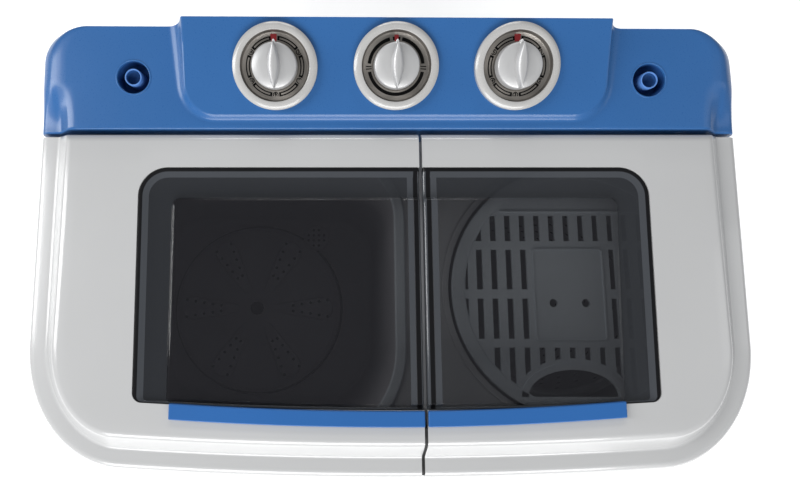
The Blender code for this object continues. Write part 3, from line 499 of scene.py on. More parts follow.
def cut_plate(name, outlines, bottom, top, place, look, body, replaces=(), bevel=0.0004):
    """A flat piece with rounded edges from plan outlines: separate islands, and holes inside them."""
    curve = bpy.data.curves.new(name, "CURVE")
    curve.dimensions = "2D"
    curve.fill_mode = "BOTH"
    curve.extrude = (top - bottom) / 2
    for outline in outlines:
        spline = curve.splines.new("POLY")
        spline.points.add(len(outline) - 1)
        for point, (x, y) in zip(spline.points, outline):
            point.co = (x, y, 0.0, 1.0)
        spline.use_cyclic_u = True
    guide = added(name + "_guide", curve)
    bpy.context.view_layer.update()
    mesh = bpy.data.meshes.new_from_object(guide.evaluated_get(bpy.context.evaluated_depsgraph_get()))
    bpy.data.objects.remove(guide, do_unlink=True)
    mesh.transform(place @ at(0.0, 0.0, (bottom + top) / 2))
    points = [tuple(vert.co) for vert in mesh.vertices]
    faces = [tuple(polygon.vertices) for polygon in mesh.polygons]
    bpy.data.meshes.remove(mesh)
    rounded(face_out(piece(name, points, faces, look, body, replaces)), bevel, 2, 50)


def discs(name, spots, radius, look, body, steps=12):
    """Small flat discs, one at each place, in one piece."""
    points = []
    faces = []
    for place in spots:
        first = len(points)
        for i in range(steps):
            angle = 2 * math.pi * i / steps
            points.append(place @ Vector((radius * math.cos(angle), radius * math.sin(angle), 0.0)))
        faces.append(tuple(range(first, first + steps)))
    piece(name, points, faces, look, body)


def extruded(name, outline, bottom, top, place, look, body, replaces=()):
    """A prism on a plan outline."""
    size = len(outline)
    points = [place @ Vector((x, y, z)) for z in (bottom, top) for x, y in outline]
    faces = [tuple(reversed(range(size))), tuple(range(size, 2 * size))]
    for i in range(size):
        j = (i + 1) % size
        faces.append((i, j, size + j, size + i))
    return face_out(piece(name, points, faces, look, body, replaces, smooth=False))


def fillet(points, radii, steps=5):
    """Round some corners of an open line of 2-D points: radii maps a corner's index to its radius."""
    line = []
    for i, point in enumerate(points):
        if i not in radii:
            line.append(tuple(point))
            continue
        corner = Vector(point)
        before = (Vector(points[i - 1]) - corner).normalized()
        after = (Vector(points[i + 1]) - corner).normalized()
        half = before.angle(after) / 2
        centre = corner + (before + after).normalized() * (radii[i] / math.sin(half))
        reach = radii[i] / math.tan(half)
        start = (corner + before * reach - centre).normalized()
        end = (corner + after * reach - centre).normalized()
        for k in range(steps + 1):
            line.append(tuple(centre + start.slerp(end, k / steps).normalized() * radii[i]))
    return line


def arc(centre_x, centre_y, radius_x, radius_y, start, end, steps):
    angles = [math.radians(start + (end - start) * i / steps) for i in range(steps + 1)]
    return [(centre_x + radius_x * math.cos(a), centre_y + radius_y * math.sin(a)) for a in angles]


def even(low, high, steps):
    return [low + (high - low) * i / steps for i in range(steps + 1)]


def between(value, keys, results):
    """Piecewise linear interpolation."""
    for k in range(len(keys) - 1):
        if value <= keys[k + 1] or k == len(keys) - 2:
            part = (value - keys[k]) / (keys[k + 1] - keys[k])
            return results[k] + (results[k + 1] - results[k]) * part
    return results[-1]


def smooth_step(value):
    value = min(max(value, 0.0), 1.0)
    return value * value * (3 - 2 * value)


# ---------------------------------------------------------------- outlines


def front_edge(x):
    return FRONT_Y + FRONT_BOW * x * x


def ledge(y):
    return LEDGE_BACK - LEDGE_DROP * (LID_REAR_Y - y)


def corner_shape():
    """Radii, start angle and centre of the front corner, which leaves the bowed front without a kink."""
    slope = 2 * FRONT_BOW * CORNER_START_X
    lean = 0.0
    for _ in range(8):
        radius_x = (HALF_WIDTH - CORNER_START_X) / (1 - math.sin(lean))
        lean = math.atan(slope * radius_x / CORNER_RADIUS_Y)
    centre_y = front_edge(CORNER_START_X) + CORNER_RADIUS_Y * math.cos(lean)
    return radius_x, CORNER_RADIUS_Y, lean, HALF_WIDTH - radius_x, centre_y


CORNER = corner_shape()
SIDE_START_Y = CORNER[-1] + 0.010
FRONT_PARTS = [0.0, 0.0008, 0.003, 0.008] + even(0.03, 1.0, 22)[:-1]


def edge_line(sign, inset, start_x, side_ys):
    """Plan line inside the outer edge: from start_x along the front, round the corner, up the side."""
    radius_x, radius_y, lean, centre_x, centre_y = CORNER
    end_x = sign * (centre_x + (radius_x - inset) * math.sin(lean))
    line = [(start_x + (end_x - start_x) * part, 0.0) for part in FRONT_PARTS]
    line = [(x, front_edge(x) + inset) for x, _ in line]
    for i in range(CORNER_STEPS + 1):
        angle = lean + (math.pi / 2 - lean) * i / CORNER_STEPS
        across = (radius_x - inset) * math.sin(angle)
        along = (radius_y - inset) * math.cos(angle)
        line.append((sign * (centre_x + across), centre_y - along))
    line += [(sign * (HALF_WIDTH - inset), y) for y in side_ys]
    return line


def whole_outline(inset, rear_inset):
    """Closed plan outline of the machine, set in from its widest edge."""
    radius = REAR_RADIUS - rear_inset / 2
    side_x = HALF_WIDTH - inset
    rear_y = REAR_Y - rear_inset
    right = edge_line(1, inset, 0.0, even(SIDE_START_Y, rear_y - radius - 0.004, 10))
    right += arc(side_x - radius, rear_y - radius, radius, radius, 0, 90, 16)
    left = [(-x, y) for x, y in reversed(right[1:])]
    return right + left


# ---------------------------------------------------------------- lids


def gap_edge(sign, inset=0.0):
    return LID_GAP_X + sign * (LID_GAP / 2 + inset)


def rolled(y):
    """Height of the lid's back edge, which is rolled about the hinge."""
    reach = min(max(y - HINGE_Y, 0.0), ROLL_RADIUS)
    return HINGE_Z + math.sqrt(ROLL_RADIUS * ROLL_RADIUS - reach * reach)


def rim_section(y):
    """(inset, height) line across the stepped rim, where its outer edge is at y."""
    shelf = ledge(y)
    corners = [
        (RIM_WIDTH, LID_TOP),
        (RIM_TOP_INSET, LID_TOP),
        (RIM_SHELF_INSET, shelf),
        (0.0, shelf),
        (0.0, LID_BOTTOM),
    ]
    return fillet(corners, {1: 0.0080, 2: 0.0050, 3: 0.0070}, 7)


ROLL_ROWS = [HINGE_Y + ROLL_RADIUS * math.sin(math.radians(a)) for a in (15, 30, 45, 58, 70, 80, 90)]


def lid_frame(name, sign, body):
    """White frame: the stepped rim, and a flat band round the pane, open at the gap between the lids."""
    corner_y = WINDOW_REAR_Y - WINDOW_REAR_RADIUS
    middle_y = (corner_y + HINGE_Y) / 2
    rim_ys = even(SIDE_START_Y, corner_y, SIDE_STEPS) + [middle_y, HINGE_Y] + ROLL_ROWS
    sample = rim_section(0.0)
    lines = [edge_line(sign, inset, gap_edge(sign), rim_ys) for inset, _ in sample]
    outer = edge_line(sign, 0.0, gap_edge(sign), rim_ys)
    rows = []
    for i, (_, outer_y) in enumerate(outer):
        section = rim_section(outer_y)
        row = []
        for k, (inset, height) in enumerate(section):
            x, y = lines[k][i]
            row.append((x, y, min(height, rolled(y)) if height > LID_BOTTOM else height))
        rows.append(row)
    rows.insert(0, [(x, y, LID_BOTTOM) for x, y, _ in rows[0]])
    rows.append([(x, y, LID_BOTTOM) for x, y, _ in rows[-1]])
    points, faces = skin(rows)
    band_faces(points, faces, sign, corner_y)
    back_strip(points, faces, sign, corner_y, middle_y)
    obj = orient_up(piece(name + "_skin", points, faces, "frame", body, [name]))
    solid_skin(obj, FRAME_WALL, 0.0006)


def window_line(sign, inset=0.0):
    """Plan line of the pane's opening: along its front from the gap, round its corner and up its side."""
    side_x = WINDOW_SIDE_X[sign] - inset
    radius = WINDOW_FRONT_RADIUS
    corner_x = side_x - radius
    start_x = gap_edge(sign)
    line = [start_x + (sign * corner_x - start_x) * part for part in FRONT_PARTS]
    line = [(x, front_edge(x) + WINDOW_FRONT + inset) for x in line]
    base_y = front_edge(corner_x) + WINDOW_FRONT + inset + radius
    bend = arc(corner_x, base_y, radius, radius, -90, 0, CORNER_STEPS)
    line += [(sign * x, y) for x, y in bend]
    return line, side_x, base_y


def band_faces(points, faces, sign, corner_y):
    """The flat band between the rim and the pane, along the front and the side."""
    rim = edge_line(sign, RIM_WIDTH, gap_edge(sign), even(SIDE_START_Y, corner_y, SIDE_STEPS))
    hole, side_x, base_y = window_line(sign)
    for y in even(base_y + 0.004, corner_y, SIDE_STEPS):
        spread_here = WINDOW_SPREAD[sign] * (y - base_y) / (corner_y - base_y)
        hole.append((sign * (side_x + spread_here), y))
    rows = [[(x, y, LID_TOP) for x, y in pair] for pair in zip(rim, hole)]
    rows.insert(0, [(x, y, LID_BOTTOM + 0.006) for x, y, _ in rows[0]])
    add_skin(points, faces, rows)


def back_strip(points, faces, sign, corner_y, middle_y):
    """The band behind the pane, down to the rolled edge at the hinge."""
    side_x = WINDOW_SIDE_X[sign] + WINDOW_SPREAD[sign]
    radius = WINDOW_REAR_RADIUS
    starts = [(HALF_WIDTH - RIM_WIDTH, corner_y)]
    starts += arc(side_x - radius, corner_y, radius, radius, 0, 90, 20)
    starts = [(sign * x, y) for x, y in starts]
    last_x = starts[-1][0]
    gap_x = gap_edge(sign)
    for part in (0.25, 0.5, 0.75, 0.97, 0.99, 1.0):
        starts.append((last_x + (gap_x - last_x) * part, WINDOW_REAR_Y))
    columns = []
    for x, y in starts:
        middle = middle_y if y <= corner_y else (y + HINGE_Y) / 2
        column = [(x, y, LID_TOP), (x, middle, LID_TOP), (x, HINGE_Y, LID_TOP)]
        column += [(x, row, rolled(row)) for row in ROLL_ROWS]
        column.append((x, LID_REAR_Y, HINGE_Z - 0.0025))
        columns.append(column)
    columns.append([(x, y, HINGE_Z - 0.0025) for x, y, _ in columns[-1]])
    add_skin(points, faces, columns)


def orient_up(obj):
    """Turn the faces so that the skin's top looks up, whatever its rows' direction."""
    with editing(obj.data) as shape:
        bmesh.ops.remove_doubles(shape, verts=shape.verts, dist=2e-6)
        bmesh.ops.recalc_face_normals(shape, faces=shape.faces)
        if sum(face.normal.z * face.calc_area() for face in shape.faces) < 0:
            bmesh.ops.reverse_faces(shape, faces=shape.faces)
    return obj


def pane_tables(sign):
    """Insets of the pane's main lines from its opening, at the side, the front and the rear."""
    foot = WINDOW_SIDE_X[sign] - PLATEAU_SIDE_X[sign]
    rear_foot = WINDOW_REAR_Y - PLATEAU_REAR_Y
    side = (0.0, PANE_EDGE, PANE_BEVEL, foot - 0.0002, foot + 0.0010, foot + 0.0045)
    front = (0.0, 0.0008, 0.0016, 0.0022, 0.0040, 0.0060)
    rear = (0.0, PANE_EDGE, PANE_BEVEL, rear_foot - 0.0002, rear_foot + 0.0010, rear_foot + 0.0045)
    return side, front, rear


def pane_line(sign, inset, low_side):
    """Plan line on the pane, from the gap along the front, the side and the rear back to the gap."""
    side, front, rear = pane_tables(sign)
    side_x = WINDOW_SIDE_X[sign] - inset
    front_in = between(inset, side, front)
    rear_y = WINDOW_REAR_Y - between(inset, side, rear)
    front_radius = max(WINDOW_FRONT_RADIUS - inset, 0.0030)
    rear_radius = between(inset, side, (0.0240, 0.0205, 0.0160, 0.0075, 0.0055, 0.0045))
    wide, narrow = WINDOW_SPREAD[sign], PLATEAU_SPREAD[sign]
    rear_x = side_x + between(inset, side, (wide, wide, wide, narrow, narrow, narrow))
    gap_xs = [gap_edge(sign, reach) for reach in low_side]
    corner_x = sign * (side_x - front_radius)
    last_x = gap_xs[-1]
    xs = gap_xs + [last_x + (corner_x - last_x) * i / PANE_STEPS for i in range(1, PANE_STEPS)]
    line = [(x, front_edge(x) + WINDOW_FRONT + front_in) for x in xs]
    base_y = front_edge(corner_x) + WINDOW_FRONT + front_in + front_radius
    bend = arc(side_x - front_radius, base_y, front_radius, front_radius, -90, 0, 10)
    bend += arc(rear_x - rear_radius, rear_y - rear_radius, rear_radius, rear_radius, 0, 90, 14)
    line += [(sign * x, y) for x, y in bend]
    back_x = line[-1][0]
    line += [(back_x + (last_x - back_x) * i / PANE_STEPS, rear_y) for i in range(1, PANE_STEPS)]
    line += [(x, rear_y) for x in reversed(gap_xs)]
    return line


def pane_drop(sign, x):
    """How far the pane's rolled edge falls next to the gap."""
    reach = abs(x - gap_edge(sign))
    if reach >= PANE_ROLL:
        return 0.0
    return PANE_ROLL - math.sqrt(PANE_ROLL * PANE_ROLL - (PANE_ROLL - reach) ** 2)


def row_mark(sign, inset):
    """Which look the pane has at this distance from its opening."""
    foot = pane_tables(sign)[0][3]
    for limit, mark in ((PANE_EDGE, SEAL), (PANE_BEVEL, BEVEL), (foot, SHADE)):
        if inset < limit + 1e-6:
            return mark
    return SMOKE


def gap_mark(sign, reach, mark):
    """Which look the pane has at this distance from the gap, where it would otherwise have the mark's."""
    lip, black, light, end = GAP_BANDS[sign]
    if mark == SEAL or light >= reach > black or reach > end:
        return mark
    return SEAL if black >= reach > lip else BEVEL


def lid_window(name, sign, body):
    """Smoky pane: a black border, a shallow bevel, a flat and a raised plateau that runs to the gap. The
    bevel and a band by the gap are painted lighter as a painted reflection.
    """
    side, _, _ = pane_tables(sign)
    profile = [
        (0.0004, PANE_BOTTOM),
        (0.0004, 0.5894),
        (side[1], 0.5893),
        (side[2], 0.5876),
        (side[3], 0.5874),
        (side[4], PLATEAU_TOP),
        (side[5], PLATEAU_TOP),
    ]
    section = fillet(profile, {1: 0.0006, 4: 0.0003, 5: 0.0028}, 6)
    reaches = sorted((0.0, 0.0001, 0.0004, 0.0008, 0.0013, 0.0020, PANE_ROLL, *GAP_BANDS[sign]))
    rows = []
    for inset, height in section:
        line = pane_line(sign, inset, reaches)
        rows.append([(x, y, max(height - pane_drop(sign, x), PANE_BOTTOM)) for x, y in line])
    points, faces = skin(rows)
    size = len(rows[0])
    stops = len(reaches) - 1
    marks = []
    for inset, _ in section[1:]:
        mark = row_mark(sign, inset)
        near = [gap_mark(sign, reach, mark) for reach in reaches[1:]]
        marks += near + [mark] * (size - 1 - 2 * stops) + near[::-1]
    top = (len(rows) - 1) * size
    for i in range(stops):
        faces.append((top + i, top + i + 1, top + size - 2 - i, top + size - 1 - i))
        marks.append(gap_mark(sign, reaches[i + 1], SMOKE))
    faces.append(tuple(range(top + stops, top + size - stops)))
    marks.append(SMOKE)
    starts = [i * size for i in range(len(rows))]
    faces.append(tuple(starts + [start + size - 1 for start in reversed(starts)]))
    faces.append(tuple(range(size)))
    marks += [SEAL, SMOKE]
    obj = face_out(piece(name + "_skin", points, faces, PANE_LOOKS, body, [name], marks=marks))
    obj.data.set_sharp_from_angle(angle=math.radians(50))


def lid_grip(name, sign, body):
    """Blue strip in front of the pane."""
    gap_x = gap_edge(sign)
    far_x = sign * GRIP_SIDE_X[sign]
    xs = even(gap_x, far_x, 24)
    outline = [(x, front_edge(x) + GRIP_FRONT + GRIP_BOW[sign] * x * x) for x in xs]
    outline += [(x, front_edge(x) + GRIP_REAR + GRIP_BOW[sign] * x * x) for x in reversed(xs)]
    bottom = LID_TOP + 0.0001
    obj = extruded(name + "_skin", outline, bottom, bottom + GRIP_HEIGHT, Matrix(), "strip", body, [name])
    obj.data.shade_smooth()
    rounded(obj, 0.0010, 4, 50)


def gap_shade_strip():
    """Dark strip in the rubber material on the wash lid's edge at the front end of the gap between the lids:
    painted shade for the shadow in the gap.
    """
    profile = []
    for inset, height in rim_section(FRONT_Y):
        profile.append((inset + GAP_SHADE_SETBACK, max(height - GAP_SHADE_SETBACK, LID_BOTTOM)))
    profile.append((profile[0][0], LID_BOTTOM))
    rows = []
    for x in (gap_edge(-1) + GAP_SHADE_CLEARANCE, gap_edge(1) - GAP_SHADE_CLEARANCE):
        rows.append([(x, front_edge(x) + inset, height) for inset, height in profile])
    points, faces = skin(rows, closed=True)
    faces += [tuple(range(len(profile))), end_face(rows)]
    face_out(piece("lid_gap_shade_strip", points, faces, "rubber", "wash_lid", smooth=False))


def lids():
    gap_shade_strip()
    for side, sign in (("wash", -1), ("spin", 1)):
        lid_frame(side + "_lid_frame", sign, side + "_lid")
        lid_window(side + "_lid_window", sign, side + "_lid")
        lid_grip(side + "_lid_grip", sign, side + "_lid")


# ---------------------------------------------------------------- control panel


def wing_top(y):
    return WING_TOP + WING_SLOPE * (y - PANEL_FRONT_Y)


def raised_top(y):
    return RAISED_TOP + RAISED_SLOPE * (y - RAISED_FRONT_Y)


def raised_depth(x, y):
    """How far a point is inside the raised section's edge, and below 0 outside it. The rear is open."""
    across = abs(x - PANEL_CENTRE_X) - (RAISED_HALF_WIDTH - RAISED_CORNER)
    along = (RAISED_FRONT_Y + RAISED_CORNER) - y
    if across > 0 and along > 0:
        return RAISED_CORNER - math.hypot(across, along)
    return RAISED_CORNER - max(across, along)


def crown_rise(depth, lift):
    """Part of the crown's height at this depth inside its edge: a hollow fillet that ends steeply."""
    wall = 0.0020 + 0.75 * lift
    end = 0.985
    part = min(max((depth + wall) / wall, 0.0), 1.0) * end
    return min((1 - math.sqrt(1 - part * part)) / (1 - math.sqrt(1 - end * end)), 1.0)


def panel_surface(x, y):
    """Height of the panel's top away from its outer edge."""
    depth = raised_depth(x, y)
    low = wing_top(y)
    lift = raised_top(y) - low
    samples = (-0.0012, -0.0006, 0.0, 0.0006, 0.0012)
    rise = sum(crown_rise(depth + step, lift) for step in samples) / len(samples)
    front = max(PANEL_FRONT_Y + PANEL_LIP - y, 0.0) / PANEL_LIP
    drop = PANEL_LIP * (1 - math.sqrt(max(1 - front * front, 0.0)))
    return low + lift * rise - drop


def panel_edge_section(y):
    """(side inset, part of the height) across the outer edge, where the ledge fades out to the rear."""
    shelf = ledge(y)
    top = wing_top(y)
    corners = [
        (0.0, PANEL_LOW),
        (0.0, shelf),
        (RIM_SHELF_INSET, shelf + 0.0008),
        (RIM_TOP_INSET, top),
        (PANEL_EDGE, top),
    ]
    line = fillet(corners, {1: 0.0070, 2: 0.0085, 3: 0.0100}, 6)
    fade = smooth_step((y - LEDGE_FADE[0]) / (LEDGE_FADE[1] - LEDGE_FADE[0]))
    start = shelf - 0.0065
    section = []
    for k, (inset, height) in enumerate(line):
        reach = 1 - min(max(inset / ROUND_WIDTH, 0.0), 1.0)
        rounded_height = start + (top - start) * math.sqrt(1 - reach * reach)
        if k > 0:
            height += (rounded_height - height) * fade
        section.append((inset, (height - PANEL_LOW) / (top - PANEL_LOW)))
    return section


def panel_rows():
    """Rows from the front to the rear, as parts of that distance, close together at the crown's corners."""
    span = REAR_Y - PANEL_REAR_INSET - PANEL_FRONT_Y
    near = [0.0, 0.0002, 0.0005, 0.0009, 0.0016, 0.0030]
    near += even(0.0040, 0.0120, 20) + even(0.0128, 0.0380, 28)
    return [d / span for d in near] + even(0.040 / span, 1.0, 22)


def panel_columns():
    """X of the panel's rear line between its rounded corners, close together at the crown's sides."""
    left = PANEL_CENTRE_X - RAISED_HALF_WIDTH
    right = PANEL_CENTRE_X + RAISED_HALF_WIDTH
    outside = 0.0170
    inside = 0.0300
    xs = even(PANEL_COLUMN_X, right + outside, 28)[:-1]
    xs += even(right + outside, right - inside, 52)
    xs += even(right - inside, left + inside, 60)[1:-1]
    xs += even(left + inside, left - outside, 52)
    xs += even(left - outside, -PANEL_COLUMN_X, 36)[1:]
    return xs


def panel_line(inset, parts, columns):
    """Plan line inside the edge: up the right side, round the corner, along the rear and down the left."""
    insets = (0.0, 0.0070, RIM_SHELF_INSET, RIM_TOP_INSET, PANEL_EDGE)
    rear_in = between(inset, insets, (0.0, 0.0003, 0.0006, 0.0012, PANEL_REAR_INSET))
    radius = REAR_RADIUS - rear_in / 2
    side_x = HALF_WIDTH - inset
    rear_y = REAR_Y - rear_in
    corner_y = rear_y - radius
    side_ys = [PANEL_FRONT_Y + (corner_y - PANEL_FRONT_Y) * part for part in parts]
    right = [(side_x, y) for y in side_ys[:-1]]
    right += arc(side_x - radius, corner_y, radius, radius, 0, 90, 14)
    left = [(-x, y) for x, y in reversed(right)]
    start = right[-1][0]
    scale = start / columns[0]
    middle = []
    for x in columns:
        stretch = max(abs(x) - 0.2, 0.0) / (columns[0] - 0.2)
        middle.append((x * (1 + (scale - 1) * stretch), rear_y))
    return right + middle[1:-1] + left


def leaned(x, y):
    """Plan place after the panel's sides and rear edge are leaned in a little towards the rear."""
    along = max(y - PANEL_FRONT_Y, 0.0) / (REAR_Y - PANEL_FRONT_Y)
    side = 1 if x > 0 else -1
    across = smooth_step((abs(x) - PANEL_COLUMN_X) / 0.050)
    return x - side * PANEL_TAPER[side] * across * along**2, y - PANEL_SKEW * (x + HALF_WIDTH) * along**2


def control_panel():
    """Blue cap: stepped rim, low wings and a raised crown for the dials."""
    parts = panel_rows()
    columns = panel_columns()
    # The insets hardly change along the edge, so one section gives them all
    lines = [panel_line(inset, parts, columns) for inset, _ in panel_edge_section(0.15)]
    rows = []
    for k, line in enumerate(lines):
        row = []
        for x, y in line:
            _, part = panel_edge_section(y)[k]
            row.append((*leaned(x, y), PANEL_LOW + part * (panel_surface(x, y) - PANEL_LOW)))
        rows.append(row)
    points, faces = skin(rows)
    inner = lines[-1]
    side_count = len(parts) - 1
    rear = inner[side_count : len(inner) - side_count]
    grid = []
    for x, y in rear:
        column = [(x, PANEL_FRONT_Y + (y - PANEL_FRONT_Y) * part) for part in parts]
        grid.append([(*leaned(px, py), panel_surface(px, py)) for px, py in column])
    add_skin(points, faces, grid)
    front = [row[0] for row in rows]
    front += [column[0] for column in grid[1:-1]]
    front += [row[-1] for row in reversed(rows)]
    add_skin(points, faces, [front, [(x, y, PANEL_LOW) for x, y, _ in front]])
    obj = piece("control_panel_skin", points, faces, "blue", "machine", ["control_panel"])
    with editing(obj.data) as shape:
        for place in INLETS.values():
            cut_inlet(shape, *place)
    solid_skin(orient_up(obj), PANEL_WALL, 0.0003, 2)


def cut_inlet(shape, x, y):
    """Open a round hole in the panel, with its edge joined to the grid round it."""
    doomed = set()
    for face in shape.faces:
        centre = face.calc_center_median()
        if centre.z > PANEL_LOW + 0.02 and max(abs(centre.x - x), abs(centre.y - y)) < INLET_PATCH:
            doomed.add(face)
    rim = [edge for face in doomed for edge in face.edges if not doomed.issuperset(edge.link_faces)]
    ends = [edge.verts[:] for edge in rim]
    bmesh.ops.delete(shape, geom=list(doomed), context="FACES")
    ring = {}
    for vert in {vert for pair in ends for vert in pair}:
        offset = Vector((vert.co.x - x, vert.co.y - y)).normalized() * INLET_HOLE
        ring[vert] = shape.verts.new((x + offset.x, y + offset.y, wing_top(y + offset.y)))
    for first, second in ends:
        shape.faces.new((first, second, ring[second], ring[first]))


def dial_place(x):
    """Frame on the raised panel at a dial's centre, with Z along its axis and Y towards the rear."""
    return at(x, DIAL_Y, raised_top(DIAL_Y)) @ turn(RAISED_TILT, "X")


def dish_height(radius):
    return between(radius, (DISH_INNER, DISH_OUTER), (DISH_LOW, DISH_HIGH))


def dial_ring(name, x):
    """Bezel and dish of one dial."""
    place = dial_place(x)
    corners = [
        (BEZEL_INNER, 0.0020),
        (BEZEL_INNER, 0.0062),
        (BEZEL_INNER + 0.0010, 0.0066),
        (BEZEL_OUTER - 0.0025, 0.0062),
        (BEZEL_OUTER, 0.0046),
        (BEZEL_OUTER, 0.0001),
    ]
    bezel = fillet(corners, {1: 0.0003, 3: 0.0050, 4: 0.0012}, 5)
    lathe("dial_bezel_" + name, bezel, place, "bezel", "machine", ["dial_ring_" + name], 128)
    dish = [(DISH_INNER, DISH_LOW), (DISH_OUTER, DISH_HIGH), (DISH_OUTER + 0.0003, DISH_HIGH + 0.0004)]
    dish += [(BEZEL_INNER + 0.0001, 0.0058)]
    lathe("dial_dish_" + name, dish, Matrix(), "dish", "machine", (), 128).matrix_world = place


def dish_spot(radius, angle, lift):
    """Point over the dish, at an angle clockwise from the top in degrees."""
    way = math.radians(angle)
    return Vector((radius * math.sin(way), radius * math.cos(way), dish_height(radius) + lift))


def ring_mark(place, inner, outer, start, end, lift):
    """Rows of points of a printed arc on the dish, with angles clockwise from the top in degrees."""
    steps = max(int((end - start) / 3), 1)
    rows = []
    for radius in (inner, outer):
        row = []
        for angle in even(start, end, steps):
            row.append(place @ dish_spot(radius, angle, lift))
        rows.append(row)
    return rows


def print_marks(name, x, marks, look):
    """One printed piece from (inner radius, outer radius, start, end, lift) arcs."""
    place = dial_place(x)
    points = []
    faces = []
    for inner, outer, start, end, lift in marks:
        add_skin(points, faces, ring_mark(place, inner, outer, start, end, lift))
    orient_up(piece(name, points, faces, look, "machine"))


def timer_marks():
    """Double arcs between the numbers of a timer, closed by bars."""
    marks = []
    for step in range(6):
        start = 60 * step + (9.5 if step else 8)
        end = 60 * (step + 1) - 9.5
        for radius in (0.0214, 0.0238):
            marks.append((radius - 0.0005, radius + 0.0005, start, end, PRINT_LIFT))
        for angle in (start, end):
            marks.append((0.0209, 0.0243, angle - 2.2, angle + 2.2, 0.00007))
    return marks


def number(name, text, x, angle, radius=0.0228):
    """A number in a ring on the dish."""
    place = dial_place(x) @ at(*dish_spot(radius, angle, 0.0001))
    ring = []
    for size in NUMBER_RING:
        ring.append([place @ Vector((px, py, 0.0)) for px, py in arc(0.0, 0.0, size, size, 0, 360, 24)])
    points, faces = skin(ring)
    orient_up(piece(name + "_ring", points, faces, "ink", "machine"))
    letters = bpy.data.curves.new(name, "FONT")
    letters.body = text
    letters.size = NUMBER_SIZES[len(text)]
    letters.offset = 0.00018
    letters.align_x = "CENTER"
    letters.align_y = "CENTER"
    letters.materials.append(MATERIALS["ink"])
    label = added(name, letters)
    label.matrix_world = place
    settle(label, "machine")


def dial_prints():
    left, middle, right = [PANEL_CENTRE_X + i * DIAL_PITCH for i in (-1, 0, 1)]
    for name, x, top in (("wash", left, 3), ("spin", right, 1)):
        print_marks("dial_scale_" + name, x, timer_marks(), "ink")
        for step in range(1, 6):
            number("dial_number_%s_%d" % (name, step), str(step * top), x, 60 * step)
        print_marks("dial_zero_" + name, x, [(0.0200, 0.0258, -8, 4, ZERO_LIFT)], "red")
    arcs = ((12, 84), (101, 259), (276, 346), (-8, 8))
    marks = [(0.0209, 0.0237, start, end, PRINT_LIFT) for start, end in arcs]
    marks += [(0.0203, 0.0250, angle - 1, angle + 1, PRINT_LIFT) for angle in (90, 95, 265, 270)]
    print_marks("dial_scale_selector", middle, marks, "ink")
    print_marks("dial_zero_selector", middle, [(0.0200, 0.0252, -4, 4, ZERO_LIFT)], "red")


def knob(name, x, body):
    """Round cap with a lens-shaped finger ridge, and a small pale pointer at its end."""
    place = dial_place(x)
    corners = [(0.0030, KNOB_BOTTOM), (0.0189, KNOB_BOTTOM), (0.0184, 0.0114)]
    corners += [(0.0130, 0.0132), (0.0, 0.0138)]
    profile = fillet(corners, {1: 0.0004, 2: 0.0018, 3: 0.0200}, 6)
    lathe(name + "_cap", profile, place, "knob", body, [name], 128)
    # Height, then parts of the ridge's half length and half width
    levels = ((0.0105, 1.0, 1.0), (0.0145, 0.99, 0.94), (0.0168, 0.98, 0.84), (0.0184, 0.965, 0.68))
    levels += ((0.0194, 0.95, 0.46), (0.0198, 0.93, 0.22))
    rows = []
    for height, length, width in levels:
        outline = lens(RIDGE_LENGTH * length, RIDGE_WIDTH * width)
        rows.append([place @ Vector((px, py, height)) for px, py in outline])
    points, faces = skin(rows, closed=True)
    faces.append(end_face(rows))
    face_out(piece(name + "_ridge", points, faces, "knob", body))
    tip = [(-0.0016, 0.0166), (0.0016, 0.0166), (0.0009, 0.0196), (0.0, 0.0205), (-0.0009, 0.0196)]
    nub = extruded(name + "_nub", tip, 0.0070, 0.0128, place, "nub", body)
    rounded(nub, 0.0004, 3)


def lens(half_length, half_width, steps=24):
    """Closed plan of a lens along Y, a little blunt at both ends."""
    right = []
    for along in even(-1.0, 1.0, steps):
        right.append((half_width * (1 - along * along) + 0.00035, half_length * along))
    return right + [(-px, py) for px, py in reversed(right)]


def inlet(name, x, y):
    """Round recess with a rounded rim, and a spout in its middle. The recess and the spout's bore are painted
    dark navy as painted shade.
    """
    place = at(x, y, wing_top(y)) @ turn(math.atan(WING_SLOPE), "X")
    corners = [(0.0152, -0.0002), (0.0152, 0.0004), (0.0137, 0.0004), (0.0137, -0.0020)]
    rim = fillet(corners, {1: 0.0004, 2: 0.0005}, 5)
    lathe("inlet_rim_" + name, rim, place, "blue", "machine", ["inlet_spigot_" + name], 96)
    # The well's dark navy is painted shade
    well = fillet([(0.0137, -0.0018), (0.0134, -0.0150), (0.0, -0.0150)], {1: 0.0015}, 5)
    lathe("inlet_well_" + name, well, place, "recess", "machine", (), 72)
    # The spout's lighter blue is partly a painted highlight on its rim
    corners = [(0.0074, -0.0148), (0.0072, 0.0006), (0.0060, 0.0006), (0.0058, -0.0148)]
    tube = fillet(corners, {1: 0.00058, 2: 0.00058}, 6)
    lathe("inlet_spout_" + name, tube, place, "spout", "machine", (), 72)
    # A dark liner low in the spout's bore: painted shade
    liner = [(0.0, -0.0060), (0.0057, -0.0060), (0.00585, -0.0004)]
    lathe("inlet_bore_" + name, liner, place, "recess", "machine", (), 48)


def controls():
    names = ("wash", "selector", "spin")
    knobs = ("wash_timer_knob", "selector_knob", "spin_timer_knob")
    bodies = ("wash_knob", "selector", "spin_knob")
    for i, (name, knob_name, body) in enumerate(zip(names, knobs, bodies)):
        x = PANEL_CENTRE_X + (i - 1) * DIAL_PITCH
        dial_ring(name, x)
        knob(knob_name, x, body)
    dial_prints()
    for name, (x, y) in INLETS.items():
        inlet(name, x, y)


# ---------------------------------------------------------------- tubs


